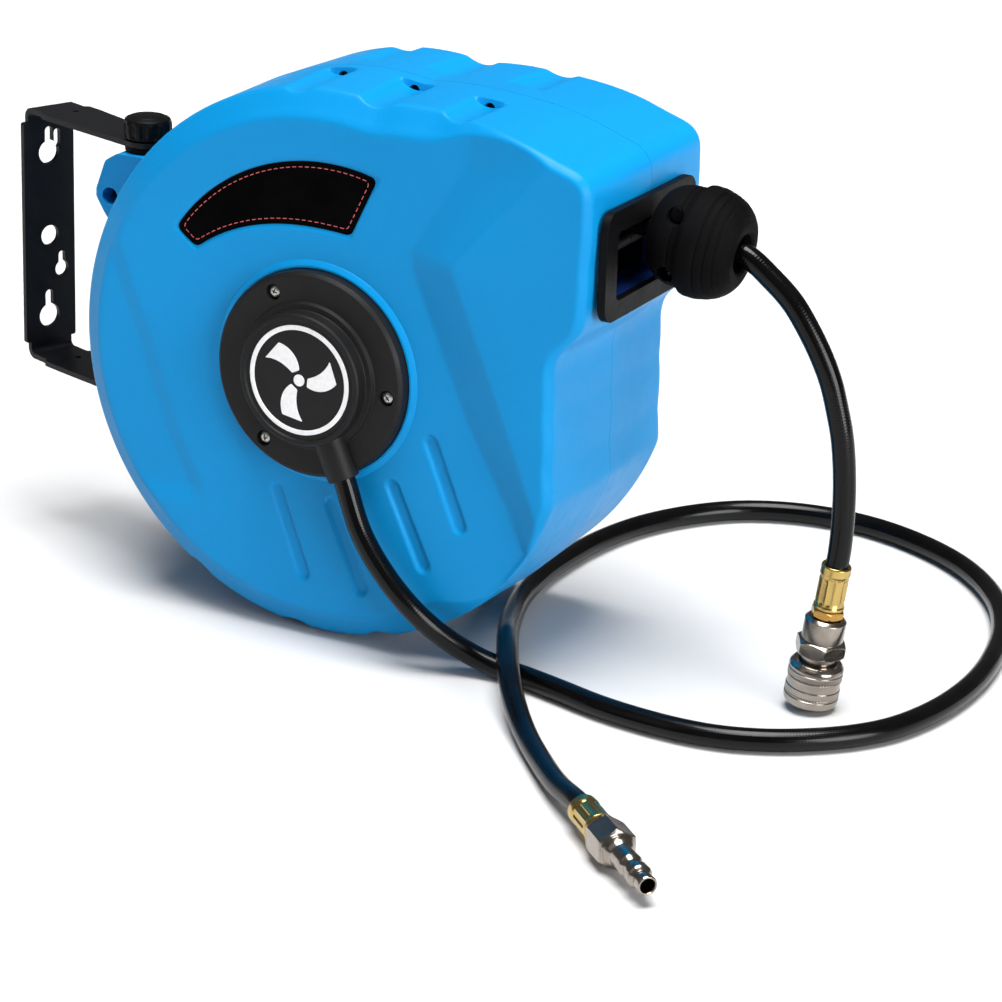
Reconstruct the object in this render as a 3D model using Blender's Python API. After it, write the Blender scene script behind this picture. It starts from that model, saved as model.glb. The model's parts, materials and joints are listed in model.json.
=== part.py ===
"""Wall-mounted retractable air hose reel.

Row frame: X points out of the wall, Z is up, and the origin is on the back of
the bracket's plate, ORIGIN_UP above its middle, where the plate is solid. The case is drawn in its own frame (X towards the hose
outlet, Y from the inlet cover to the back, Z up, zero at the centre of the
inlet cover's face, millimetres) and is then carried by the swivel axis.
"""
import math

import bmesh
import bpy
from mathutils import Matrix, Vector

MM = 0.001
GAP = 0.3               # clearance between neighbouring pieces

# ---- wall bracket (row frame, mm) ----
PLATE_T = 3.0           # sheet thickness
PLATE_W = 34.0
BRACKET_H = 149.0       # over both arms
ORIGIN_UP = 12.0        # origin above the middle of the plate
ARM_REACH = 100.0       # wall to pivot axis
ARM_W_ROOT = 28.0
ARM_END_R = 13.0
SWIVEL_REST = 21.4      # degrees, case turned on the pivot

# ---- case frame (mm) ----
PIVOT_X, PIVOT_Y, PIVOT_Z = -146.0, 72.0, 17.5
CASE_R = 151.5          # round part at the parting line
RIM_INSET = 1.5
CREASE_INSET = 16.0
Y_FACE, Y_RIM, Y_SPLIT, Y_RIM_B, Y_BACK = 9.0, 18.0, 72.0, 135.0, 144.0
WALL_IN = 8.0           # rim wall
FACE_T = 3.2
COVER_R = 56.0
HUB_R = 36.4
HOSE_R = 6.0
DRUM_CORE_R = 60.0
DRUM_FLANGE_R = 129.0
WOUND_R = 108.0
WRAP_R = 102.0          # centre line of the outer layer of hose
HOSE_Y = 66.0
BALL_C = (191.0, 66.0, 88.0)
BALL_TILT = -8.0        # degrees, nose down
BALL_BACK, BALL_NOSE = -23.5, 24.0

for ob in list(bpy.data.objects):
    bpy.data.objects.remove(ob, do_unlink=True)

COL = bpy.context.scene.collection


def material(name, rgb, rough, metal=0.0):
    m = bpy.data.materials.new(name)
    m.use_nodes = True
    b = m.node_tree.nodes["Principled BSDF"]
    b.inputs["Base Color"].default_value = (*rgb, 1)
    b.inputs["Roughness"].default_value = rough
    b.inputs["Metallic"].default_value = metal
    return m


COLOURS = {
    "case_blue": ((0.015, 0.29, 0.72), 0.42, 0.0),
    "black_steel": ((0.012, 0.012, 0.013), 0.45, 0.4),
    "black_plastic": ((0.02, 0.02, 0.022), 0.5, 0.0),
    "rubber": ((0.015, 0.015, 0.016), 0.65, 0.0),
    "hose_black": ((0.012, 0.012, 0.014), 0.3, 0.0),
    "brass": ((0.78, 0.5, 0.16), 0.28, 1.0),
    "steel": ((0.6, 0.57, 0.54), 0.25, 1.0),
    "spring_steel": ((0.3, 0.31, 0.33), 0.35, 1.0),
    "label": ((0.01, 0.01, 0.01), 0.25, 0.0),
    "white_print": ((0.85, 0.85, 0.85), 0.4, 0.0),
    "drum_plastic": ((0.03, 0.03, 0.035), 0.55, 0.0),
}


def empty(name, loc, parent=None, rot_z=0.0):
    e = bpy.data.objects.new(name, None)
    COL.objects.link(e)
    e.location = loc
    e.rotation_euler = (0, 0, math.radians(rot_z))
    e.parent = parent
    return e


wall = empty("bracket_frame", (0, 0, -ORIGIN_UP * MM))
swivel = empty("swivel_axis", (ARM_REACH * MM, 0, 0), wall, SWIVEL_REST)
case = empty("case_frame", (-PIVOT_X * MM, -PIVOT_Y * MM, -PIVOT_Z * MM), swivel)


def finish_mesh(name, bm, slot, parent, origin=(0, 0, 0), smooth=30, rot=None):
    """Turn a bmesh drawn in mm about its own origin into an object."""
    bmesh.ops.remove_doubles(bm, verts=bm.verts, dist=1e-4)
    bmesh.ops.dissolve_degenerate(bm, edges=bm.edges, dist=1e-5)
    bmesh.ops.recalc_face_normals(bm, faces=bm.faces)
    bmesh.ops.scale(bm, vec=(MM, MM, MM), verts=bm.verts)
    me = bpy.data.meshes.new(name)
    bm.to_mesh(me)
    bm.free()
    if slot:
        mname = "mat_" + name
        me.materials.append(material(mname, *COLOURS[slot]))
    me.shade_smooth()
    if smooth:
        me.set_sharp_from_angle(angle=math.radians(smooth))
    ob = bpy.data.objects.new(name, me)
    COL.objects.link(ob)
    ob.location = Vector(origin) * MM
    if rot is not None:
        ob.rotation_mode = "QUATERNION"
        ob.rotation_quaternion = rot
    ob.parent = parent
    return ob


def hide_cutter(ob):
    ob.hide_render = True
    ob.display_type = "WIRE"
    return ob


def boolean(ob, cutter, op="DIFFERENCE"):
    m = ob.modifiers.new(op.lower() + "_" + cutter.name, "BOOLEAN")
    m.operation = op
    m.solver = "EXACT"
    m.object = cutter
    hide_cutter(cutter)
    return m


AXES = {"x": Vector((1, 0, 0)), "y": Vector((0, 1, 0)), "z": Vector((0, 0, 1))}


def bm_lathe(profile, seg=32):
    """Spin (radius, along) about the local Z axis. The profile is a closed
    loop, or an open one that starts and ends on the axis."""
    bm = bmesh.new()
    vs = [bm.verts.new((r, 0, a)) for r, a in profile]
    on_axis = profile[0][0] < 1e-6 and profile[-1][0] < 1e-6
    es = [bm.edges.new((vs[i], vs[i + 1])) for i in range(len(vs) - 1)]
    if not on_axis:
        es.append(bm.edges.new((vs[-1], vs[0])))
    bmesh.ops.spin(bm, geom=vs + es, cent=(0, 0, 0), axis=(0, 0, 1),
                   angle=2 * math.pi, steps=seg, use_merge=True)
    bmesh.ops.remove_doubles(bm, verts=bm.verts, dist=1e-4)
    return bm


def quat_to(direction):
    return Vector((0, 0, 1)).rotation_difference(Vector(direction).normalized())


def lathe(name, profile, slot, parent, origin, axis=(0, 1, 0), seg=32, smooth=30):
    return finish_mesh(name, bm_lathe(profile, seg), slot, parent, origin, smooth,
                       quat_to(axis))


def rod(r, a0, a1, c=0.0):
    if c:
        return [(0, a0), (r - c, a0), (r, a0 + c), (r, a1 - c), (r - c, a1), (0, a1)]
    return [(0, a0), (r, a0), (r, a1), (0, a1)]


def ring(r0, r1, a0, a1):
    return [(r0, a0), (r1, a0), (r1, a1), (r0, a1)]


def bm_prism(pts, lo, hi, plane="xz"):
    """Extrude a polygon. plane xz extrudes along Y, xy along Z, yz along X."""
    def v3(a, b, t):
        return {"xz": (a, t, b), "xy": (a, b, t), "yz": (t, a, b)}[plane]
    bm = bmesh.new()
    vs = [bm.verts.new(v3(a, b, lo)) for a, b in pts]
    f = bm.faces.new(vs)
    r = bmesh.ops.extrude_face_region(bm, geom=[f])
    d = Vector(v3(0, 0, hi - lo))
    bmesh.ops.translate(bm, vec=d, verts=[g for g in r["geom"]
                                          if isinstance(g, bmesh.types.BMVert)])
    return bm


def prism(name, pts, lo, hi, slot, parent, plane="xz", origin=(0, 0, 0), rot=None):
    return finish_mesh(name, bm_prism(pts, lo, hi, plane), slot, parent, origin, 30, rot)


def box_pts(a0, a1, b0, b1):
    return [(a0, b0), (a1, b0), (a1, b1), (a0, b1)]


def cyl_cutter(name, r, a0, a1, parent, origin, axis, seg=24):
    return lathe(name, rod(r, a0, a1), None, parent, origin, axis, seg)


def arc(cx, cz, r, a0, a1, n):
    return [(cx + r * math.cos(math.radians(a0 + (a1 - a0) * i / n)),
             cz + r * math.sin(math.radians(a0 + (a1 - a0) * i / n))) for i in range(n + 1)]


def hexagon(af):
    r = af / 2 / math.cos(math.pi / 6)
    return [(r * math.cos(math.pi / 3 * i), r * math.sin(math.pi / 3 * i)) for i in range(6)]


# ------------------------------------------------------------ bracket (root)
half = BRACKET_H / 2


def bracket():
    t = PLATE_T
    ro = 6.0
    outer = ([(14, half), ] + arc(ro, half - ro, ro, 90, 180, 4)
             + arc(ro, -half + ro, ro, 180, 270, 4) + [(14, -half)])
    inner = ([(14, -half + t)] + arc(ro, -half + ro, ro - t, 270, 180, 4)
             + arc(ro, half - ro, ro - t, 180, 90, 4) + [(14, half - t)])
    ob = prism("wall_bracket", outer + inner, -ARM_W_ROOT / 2, ARM_W_ROOT / 2,
               "black_steel", wall)
    plate = finish_mesh("cut_plate_ears", bm_prism(
        [(-PLATE_W / 2, -half + 9), (PLATE_W / 2, -half + 9),
         (PLATE_W / 2, half - 9), (-PLATE_W / 2, half - 9)], 0, t, "yz"), None, wall)
    boolean(ob, plate, "UNION")
    for k, z in (("top", half - t), ("bottom", -half)):
        w0, w1 = ARM_W_ROOT / 2, ARM_END_R
        pts = ([(12, -w0), (20, -w0 - 2.5), (30, -w0 - 2.5), (ARM_REACH, -w1)]
               + arc(ARM_REACH, 0, ARM_END_R, -80, 80, 8)
               + [(ARM_REACH, w1), (30, w0 + 2.5), (20, w0 + 2.5), (12, w0)])
        a = finish_mesh("cut_arm_" + k, bm_prism(pts, z, z + t, "xy"), None, wall)
        boolean(ob, a, "UNION")
    c = cyl_cutter("cut_pivot_hole", 4.3, -90, 90, wall, (ARM_REACH, 0, 0), (0, 0, 1), 16)
    boolean(ob, c)
    for k, s in (("a", 1), ("b", -1)):
        boolean(ob, cyl_cutter("cut_arm_hole_" + k, 1.8, s * half - 8, s * half + 8, wall,
                               (26, 3, 0), (0, 0, 1), 10))
    def keyhole(tag, y, zc, r, slots):
        boolean(ob, cyl_cutter("cut_key_" + tag, r, -5, 8, wall, (0, y, zc), (1, 0, 0), 14))
        for i, (sy, ztop, sr) in enumerate(slots):
            pts = ([(sy - sr, zc), (sy + sr, zc)] + arc(sy, ztop - sr, sr, 0, 180, 4))
            boolean(ob, finish_mesh("cut_slot_%s%d" % (tag, i),
                                    bm_prism(pts, -5, 8, "yz"), None, wall))
    keyhole("top", 0, 46.5, 6.9, [(0, 61.5, 2.6)])
    keyhole("top_b", 5.2, 50.5, 2.2, [(5.6, 59.5, 2.2)])
    keyhole("mid", 0, -3, 6.0, [])
    keyhole("small", 8, -24, 4.6, [(8, -13.5, 2.3)])
    keyhole("low", -1, -51, 6.9, [(-1, -35.5, 2.7)])
    return ob


bracket()
lathe("pivot_rod", rod(4.0, -half - 12, half + 3.2, 0.6), "steel", wall,
      (ARM_REACH, 0, 0), (0, 0, 1), 16)
knob_prof = [(0, 3.6), (5.5, 3.6), (5.5, 0.3), (12.2, 0.3), (13.0, 1.6), (13.4, 9.5),
             (12.6, 12.0), (9.0, 13.2), (0, 13.4)]
lathe("pivot_knob", knob_prof, "black_plastic", wall, (ARM_REACH, 0, half), (0, 0, 1), 20)
nut = finish_mesh("pivot_nut", bm_prism(hexagon(13), -half - 7.0, -half - GAP, "xy"),
                  "steel", wall, (ARM_REACH, 0, 0))
boolean(nut, cyl_cutter("cut_nut", 4.3, -half - 20, -half + 5, wall, (ARM_REACH, 0, 0),
                        (0, 0, 1), 16))


# ------------------------------------------------------------ case halves
def outline(inset=0.0, inset_right=None, n_arc=34):
    """Case outline in X, Z, counter-clockwise from the top. The inset may be
    smaller on the outlet side."""
    if inset_right is None:
        inset_right = inset
    pts = arc(0, 0, CASE_R, 78, 341.4, n_arc)
    pts += [(142.0, -30), (141.5, 0), (141.2, 24), (143.0, 33.0), (150.5, 40.5),
            (156.0, 46.0), (157.3, 52), (158.4, 82), (159.3, 112)]
    pts += arc(143.6, 117.0, 16.0, 5, 60, 4)
    pts += [(138, 135.4), (124, 140.6), (108, 144.6), (90, 147.2), (68, 149.0), (48, 149.6)]
    n = len(pts)
    out = []
    for i, p in enumerate(pts):
        a, b = Vector(pts[i - 1]), Vector(pts[(i + 1) % n])
        t = (b - a).normalized()
        nrm = Vector((-t.y, t.x))          # inward for a counter-clockwise loop
        w = min(1.0, max(0.0, (p[0] - 60.0) / 50.0))
        d = inset * (1 - w) + inset_right * w
        out.append((p[0] + nrm.x * d, p[1] + nrm.y * d))
    return out


def loft(name, sections, slot, parent):
    """Closed body through equal-count loops [(y, points)], capped at both ends."""
    bm = bmesh.new()
    loops = [[bm.verts.new((x, y, z)) for x, z in pts] for y, pts in sections]
    n = len(loops[0])
    for a, b in zip(loops, loops[1:]):
        for i in range(n):
            j = (i + 1) % n
            bm.faces.new((a[i], a[j], b[j], b[i]))
    bm.faces.new(loops[0])
    bm.faces.new(list(reversed(loops[-1])))
    return finish_mesh(name, bm, slot, parent, (0, 0, 0), 25)


# each screw sits below a point of the outline: the point, its outward normal, and
# the depth at which its channel ends
def on_arc(a):
    n = Vector((math.cos(math.radians(a)), math.sin(math.radians(a))))
    return n * CASE_R, n


SPOTS = [(*on_arc(96.9), 64.0), (*on_arc(79.8), 62.0),
         (Vector((76.0, 148.35)), Vector((0.0815, 0.9967)), 52.0),
         (*on_arc(-121.0), 56.0), (*on_arc(-76.0), 56.0)]
SCREW_DEPTH = 5.35
CHANNEL_R, CHANNEL_DEPTH = 12.0, 4.5
SEAT_R = 3.4
LUG_SCREW = (-160.5, 60.5)
CH_BACK = 90.0


COVER_ANGLES = (117, -5, -124)


def case_half(name, front):
    g = GAP / 2
    if front:
        y_s, y_r, y_f, s = Y_SPLIT - g, Y_RIM, Y_FACE, 1
    else:
        y_s, y_r, y_f, s = Y_SPLIT + g, Y_RIM_B, Y_BACK, -1
    body = loft(name, [(y_s, outline(0)), (y_r, outline(RIM_INSET)),
                       (y_f, outline(CREASE_INSET, 8.0))], "case_blue", case)
    # cavity, kept clear of the screw bosses and of the pivot spine
    cav = loft("cav_" + name, [(y_s + s * 4, outline(WALL_IN, None, 22)),
                               (y_r + s * 3, outline(WALL_IN + 2, None, 22)),
                               (y_f + s * FACE_T, outline(CREASE_INSET + 6, 12.0, 22))],
               None, case)
    for i, (sp, sn, y_end) in enumerate(SPOTS):
        bc = sp - sn * SCREW_DEPTH
        boolean(cav, cyl_cutter("boss_%s_%d" % (name, i), 10.8, 0, 170, case, (bc.x, -10, bc.y),
                                (0, 1, 0), 10))
    spine_keep = finish_mesh("keep_spine_" + name, bm_prism(
        box_pts(-165, -137, -60, 60), 61, 83), None, case)
    boolean(cav, spine_keep)
    boolean(body, cav)
    if front:
        # raised field beside the sloping band on the outlet side
        left = [(88, 145.2), (86, 124), (55.5, 75), (59.5, 57), (90, -11), (115, -55), (124, -75)]
        inner = [(136, 134.5), (135, 132), (82, 72), (84, 66), (113, -5), (129, -50), (130, -52)]
        right = [(136.5, -60.5), (140.2, -42), (140.6, 0), (140.0, 26), (142.0, 34.3),
                 (149.5, 41.6), (155.0, 47.2), (157.4, 82), (158.2, 112), (155.6, 124.0),
                 (150.0, 129.6), (137.0, 134.6), (122, 139.6), (106, 143.6)]
        rin = [(132, -56), (133.5, -40), (134.0, 0), (133.6, 28), (136, 37.5), (143.0, 44.3),
               (148.5, 50), (150.5, 82), (151, 110), (149, 118.5), (144.5, 124),
               (139.5, 128.5), (138.5, 131.5), (137, 133.6)]
        plate = loft("raise_" + name, [(24.0, left + right), (Y_FACE - 0.02, left + right),
                                       (3.5, inner + rin)], None, case)
        boolean(body, plate, "UNION")
    # pivot spine with its two lugs
    g0, g1 = (56.0, y_s) if front else (y_s, 88.0)
    q0, q1 = (62.0, y_s) if front else (y_s, 82.0)
    lug_u = [(-128, 36), (-133, 85.2), (-156, 85.2), (-163.5, 80.5), (-169.5, 64), (-169.5, 59.5),
             (-165, 52), (-156, 40)]
    lug_l = [(-132, -26), (-164, -26), (-167, -30), (-167, -46), (-163, -49.5), (-131, -49.5)]
    for tag, pts, a, b in (("u", lug_u, g0, g1), ("l", lug_l, g0, g1),
                           ("s", box_pts(-158.5, -137.5, -40, 50), q0, q1)):
        boolean(body, finish_mesh("lug_%s_%s" % (tag, name), bm_prism(pts, a, b), None, case),
                "UNION")
    # bore for the pivot rod, and room for the lower arm, washer and nut
    boolean(body, cyl_cutter("bore_" + name, 4.3, -90, 110, case, (PIVOT_X, PIVOT_Y, 0),
                             (0, 0, 1), 20))
    boolean(body, finish_mesh("notch_" + name, bm_prism(
        [(-190, 31), (-132, 31), (-132, 113), (-190, 113)], -75, -49.8, "xy"), None, case))
    # screw channels, screw holes
    for i, (sp, sn, y_end) in enumerate(SPOTS):
        a0, a1 = (-20, y_end) if front else (CH_BACK, 180)
        cc = sp + sn * (CHANNEL_R - CHANNEL_DEPTH)
        bc = sp - sn * SCREW_DEPTH
        boolean(body, cyl_cutter("chan_%s_%d" % (name, i), CHANNEL_R, a0, a1, case,
                                 (cc.x, 0, cc.y), (0, 1, 0), 28))
        if front:
            boolean(body, cyl_cutter("seat_%s_%d" % (name, i), SEAT_R, y_end - 4, y_end + 5, case,
                                     (bc.x, 0, bc.y), (0, 1, 0), 14))
        boolean(body, cyl_cutter("hole_%s_%d" % (name, i), 2.4, 50, 95, case,
                                 (bc.x, 0, bc.y), (0, 1, 0), 8))
    if front:
        boolean(body, cyl_cutter("lug_seat_" + name, 6.0, 40, 62, case,
                                 (LUG_SCREW[0], 0, LUG_SCREW[1]), (0, 1, 0), 14))
    boolean(body, cyl_cutter("lug_hole_" + name, 2.4, 50, 84, case,
                             (LUG_SCREW[0], 0, LUG_SCREW[1]), (0, 1, 0), 8))
    # hose outlet
    boolean(body, finish_mesh("outlet_" + name, bm_prism(
        box_pts(25, 111, 56.5, 107.0), 128, 175, "yz"), None, case))
    if front:
        boolean(body, cyl_cutter("front_hole_" + name, 40.0, -5, 40, case, (0, 0, 0),
                                 (0, 1, 0), 28))
        for i, a in enumerate(COVER_ANGLES):
            cx, cz = 47.4 * math.cos(math.radians(a)), 47.4 * math.sin(math.radians(a))
            boolean(body, cyl_cutter("cover_hole_%d" % i, 1.9, 0, 30, case, (cx, 0, cz),
                                     (0, 1, 0), 8))
        for i, (x0, z0) in enumerate(((-22.5, -74), (11.5, -76), (48.5, -59), (70.5, -29.5))):
            u = Vector((0.40, -0.917))
            w = Vector((0.917, 0.40)) * 3.6
            p, q = Vector((x0, z0)), Vector((x0, z0)) + u * 40
            pts = [p - w, p - u * 3.6, p + w, q + w, q + u * 3.6, q - w]
            pts = [(v.x, v.y) for v in pts]
            boolean(body, finish_mesh("groove_%d" % i, bm_prism(pts, 0, Y_FACE + 1.2),
                                      None, case))
    else:
        boss = lathe("axle_boss", ring(8.3, 17, 128, 142), None, case, (0, 0, 0),
                     (0, 1, 0), 20)
        boolean(body, boss, "UNION")
        pb = cyl_cutter("pawl_boss", 5.5, 119, 142, case, PAWL_PIN, (0, 1, 0), 12)
        boolean(body, pb, "UNION")
        boolean(body, cyl_cutter("pawl_bore", 2.3, 100, 141.5, case, PAWL_PIN, (0, 1, 0), 10))
    return body


PAWL_A = -60.0
PAWL_PIN = (120 * math.cos(math.radians(PAWL_A)), 0, 120 * math.sin(math.radians(PAWL_A)))

case_half("housing_front", True)
case_half("housing_rear", False)


def screw(name, x, y0, z, length, rh, hh, rs, parent, axis=(0, 1, 0)):
    """Pan head screw; head face at y0, shank along the axis."""
    prof = [(0, 0), (rh - 0.9, 0), (rh, 0.9), (rh, hh), (rs, hh), (rs, length - 1.5),
            (rs * 0.4, length), (0, length)]
    return lathe(name, prof, "steel", parent, (x, y0, z), axis, 9)


n_s = 1
for sp, sn, y_end in SPOTS:
    sc = sp - sn * SCREW_DEPTH
    screw("case_screw_%d" % n_s, sc.x, y_end + 1.5, sc.y, 87.0 - y_end, 3.0, 3.0, 1.7, case)
    n_s += 1
screw("case_screw_6", LUG_SCREW[0], 58.2, LUG_SCREW[1], 25, 4.6, 3.2, 2.0, case)

lathe("pivot_bush_upper", ring(4.3, 12.5, 85.5, 88.7), "black_plastic", case,
      (PIVOT_X, PIVOT_Y, 0), (0, 0, 1), 18)
lathe("pivot_bush_lower", ring(4.3, 12.5, -53.7, -49.8), "black_plastic", case,
      (PIVOT_X, PIVOT_Y, 0), (0, 0, 1), 18)

# ------------------------------------------------------------ outlet
SLANT = 3.0 / 62.0


def rounded_rect(a0, a1, b0, b1, r, n=4):
    return (arc(a1 - r, b0 + r, r, -90, 0, n) + arc(a1 - r, b1 - r, r, 0, 90, n)
            + arc(a0 + r, b1 - r, r, 90, 180, n) + arc(a0 + r, b0 + r, r, 180, 270, n))


bezel = finish_mesh("outlet_bezel", bm_prism(rounded_rect(12, 118, 51.5, 109, 8), 159.9, 164.2,
                                             "yz"), "black_plastic", case)
for i, ya in enumerate((27, 105)):
    boolean(bezel, finish_mesh("cheek_%d" % i, bm_prism(
        box_pts(ya, ya + 4, 60, 106), 138, 161, "yz"), None, case), "UNION")
boolean(bezel, finish_mesh("cut_bezel_open", bm_prism(rounded_rect(25, 103, 61.5, 97.5, 3), 150, 170,
                                                  "yz"), None, case))
ROLL_X = 146.5
ang_out = math.degrees(math.atan2(BALL_C[2] + 3.3, BALL_C[0] - 23.7))
dist_out = math.hypot(BALL_C[2] + 3.3, BALL_C[0] - 23.7)
ang_t = ang_out + math.degrees(math.acos(WRAP_R / dist_out))
TAN = Vector((WRAP_R * math.cos(math.radians(ang_t)), HOSE_Y,
              WRAP_R * math.sin(math.radians(ang_t))))
FEED_DIR = Vector((math.sin(math.radians(ang_t)), 0, -math.cos(math.radians(ang_t))))
z_roll = TAN.z + FEED_DIR.z / FEED_DIR.x * (ROLL_X - TAN.x)
for tag, dz in (("upper", 10.9), ("lower", -10.9)):
    zc = z_roll + dz
    boolean(bezel, cyl_cutter("cut_pin_" + tag, 2.3, 15, 120, case, (ROLL_X, 0, zc),
                              (0, 1, 0), 12))
    lathe("guide_pin_" + tag, rod(2.0, 26.5, 109.5, 0.3), "steel", case, (ROLL_X, 0, zc),
          (0, 1, 0), 12)
    lathe("guide_roller_" + tag, ring(2.3, 4.3, 32, 104),
          "drum_plastic", case, (ROLL_X, 0, zc), (0, 1, 0), 14)

# ------------------------------------------------------------ inlet cover
SPIG = Vector((0.40, 0.0, -0.917)).normalized()
SPIG_Y = -0.2
cover_prof = [(0, -9.0), (32.4, -9.0), (33.0, -10.2), (34.8, -10.2), (36.0, -9.2), (HUB_R, -2.4),
              (39.6, -2.0), (40.4, 0.0), (COVER_R - 2.0, 0.0), (COVER_R, 2.0),
              (COVER_R, Y_FACE - GAP), (34.0, Y_FACE - GAP), (34.0, -7.2), (0, -7.2)]
cover = lathe("inlet_cover", cover_prof, "black_plastic", case, (0, 0, 0), (0, 1, 0), 28)
spigot = lathe("spigot", [(0, 34.5), (9.2, 34.5), (8.6, 50), (8.2, 57.5), (0, 57.5)], None, case,
               (0, SPIG_Y, 0), SPIG, 14)
boolean(cover, spigot, "UNION")
trim = finish_mesh("cut_spigot_back", bm_prism([(-80, -80), (80, -80), (80, 80), (-80, 80)],
                                               Y_FACE - GAP, 20), None, case)
boolean(cover, trim)
boolean(cover, cyl_cutter("cut_spigot_bore", HOSE_R + 0.9, 30, 70, case, (0, SPIG_Y, 0), SPIG, 14))
for i, a in enumerate(COVER_ANGLES):
    cx, cz = 47.4 * math.cos(math.radians(a)), 47.4 * math.sin(math.radians(a))
    boolean(cover, cyl_cutter("cover_seat_%d" % i, 4.3, -5, 2.8, case, (cx, 0, cz),
                              (0, 1, 0), 12))
    boolean(cover, cyl_cutter("cover_bore_%d" % i, 1.9, -5, 12, case, (cx, 0, cz),
                              (0, 1, 0), 8))
    screw("cover_screw_%d" % (i + 1), cx, 0.6, cz, 16, 3.2, 1.9, 1.5, case)
lathe("inlet_badge", rod(31.6, -10.1, -9.3), "white_print", case, (0, 0, 0), (0, 1, 0), 28)

# arc-shaped label on the face
LABEL_OUTER = [(109.0, 143.6), (110.3, 130.0), (111.0, 115.0), (112.4, 100.0), (113.2, 88.0),
               (114.0, 79.0), (113.6, 72.6)]      # radius, angle
LABEL_INNER = [(78.6, 76.2), (78.2, 92.0), (80.0, 107.0), (84.2, 121.0), (89.3, 133.0), (93.0, 142.6)]
pts = [(r * math.cos(math.radians(a)), r * math.sin(math.radians(a)))
       for r, a in LABEL_INNER + LABEL_OUTER]
prism("label_plate", pts, Y_FACE - GAP - 0.6, Y_FACE - GAP, "label", case)

# ------------------------------------------------------------ axle, inlet swivel
elbow = lathe("swivel_elbow", rod(8.0, -3.2, 28.0), "brass", case, (0, 0, 0), (0, 1, 0), 16)
boolean(elbow, lathe("elbow_arm", rod(3.0, 0, 41.7), None, case, (0, SPIG_Y, 0), SPIG, 12), "UNION")
boolean(elbow, cyl_cutter("elbow_bore", 3.2, 4, 40, case, (0, 0, 0), (0, 1, 0), 12))
lathe("swivel_sleeve", [(8.3, 14.5), (13.5, 14.5), (13.5, 20), (11, 20), (11, 34.5), (8.3, 34.5)],
      "brass", case, (0, 0, 0), (0, 1, 0), 18)
tor = [(9.9 + 1.3 * math.cos(2 * math.pi * k / 5), 12.6 + 1.3 * math.sin(2 * math.pi * k / 5))
       for k in range(5)]
lathe("swivel_seal", tor, "rubber", case, (0, 0, 0), (0, 1, 0), 16)
lathe("main_axle", rod(8.0, 35.2, 140.4, 0.6), "steel", case, (0, 0, 0), (0, 1, 0), 18)
lathe("spring_arbor", ring(8.3, 12.0, 111.5, 125.5), "steel", case, (0, 0, 0), (0, 1, 0), 16)
pin_x, _, pin_z = PAWL_PIN
lathe("pawl_pin", rod(2.0, 109.2, 141.0), "steel", case, (pin_x, 0, pin_z), (0, 1, 0), 12)

# pawl: a finger that leans towards the ratchet
pu = Vector((math.sin(math.radians(PAWL_A)), -math.cos(math.radians(PAWL_A))))
pr_ = Vector((-math.cos(math.radians(PAWL_A)), -math.sin(math.radians(PAWL_A))))
pawl_pts = []
for a, b in ((-4.5, -1), (-3.2, -3.8), (0, -4.8), (3.6, -3.4), (12, 1.5), (18.0, 9.0), (17.0, 12.6),
             (9.5, 8.2), (2.5, 4.6), (-3.2, 3.6)):
    v = pu * a + pr_ * b
    pawl_pts.append((v.x, v.y))
pawl = prism("pawl", pawl_pts, 110.0, 114.6, "steel", case, "xz", (pin_x, 0, pin_z))
boolean(pawl, cyl_cutter("pawl_eye", 2.3, 100, 120, case, (pin_x, 0, pin_z), (0, 1, 0), 12))


def tube_curve(name, pts, r, slot, parent, res=3):
    cu = bpy.data.curves.new(name, "CURVE")
    cu.dimensions = "3D"
    cu.bevel_depth = r * MM
    cu.bevel_resolution = res
    cu.use_fill_caps = True
    sp = cu.splines.new("POLY")
    sp.points.add(len(pts) - 1)
    for q, p in zip(sp.points, pts):
        q.co = (p[0] * MM, p[1] * MM, p[2] * MM, 1)
    cu.materials.append(material("mat_" + name, *COLOURS[slot]))
    ob = bpy.data.objects.new(name, cu)
    COL.objects.link(ob)
    ob.parent = parent
    return ob


# pawl spring: small helical spring beside the pawl
sp0 = Vector((pin_x, 0, pin_z)) + Vector((pu.x, 0, pu.y)) * 11 - Vector((pr_.x, 0, pr_.y)) * 6.5
sdir = -Vector((pr_.x, 0, pr_.y))
sb = Vector((pu.x, 0, pu.y))
hel = []
for k in range(25):
    t = k / 24
    a = 2 * math.pi * 3 * t
    hel.append(sp0 + sdir * (1.0 + 6.5 * t) + (sb * math.cos(a) + Vector((0, 1, 0)) * math.sin(a)) * 2.0
               + Vector((0, 112.3, 0)))
tube_curve("pawl_spring", hel, 0.35, "spring_steel", case, 1)

# ------------------------------------------------------------ drum
core_prof = [(57.0, 41.3), (DRUM_CORE_R, 41.3), (DRUM_CORE_R, 105.7), (57.0, 105.7), (57.0, 76),
             (14.5, 76), (14.5, 100), (11.3, 100), (11.3, 44), (14.5, 44), (14.5, 70), (57.0, 70)]
lathe("drum_core", core_prof, "drum_plastic", case, (0, 0, 0), (0, 1, 0), 24)
lathe("drum_flange_front", [(46, 38.0), (DRUM_FLANGE_R - 2, 38.0), (DRUM_FLANGE_R, 36.6),
                            (DRUM_FLANGE_R, 41.0), (46, 41.0)], "drum_plastic", case,
      (0, 0, 0), (0, 1, 0), 30)
lathe("drum_flange_rear", [(46, 106.0), (DRUM_FLANGE_R, 106.0), (DRUM_FLANGE_R, 108.6), (46, 108.6)],
      "drum_plastic", case, (0, 0, 0), (0, 1, 0), 30)
lathe("drum_bush_front", ring(8.2, 11.0, 44.0, 56.0), "brass", case, (0, 0, 0), (0, 1, 0), 18)
lathe("drum_bush_rear", ring(8.2, 11.0, 88.0, 100.0), "brass", case, (0, 0, 0), (0, 1, 0), 18)
wound = []
layers, turns = 4, 5
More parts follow.
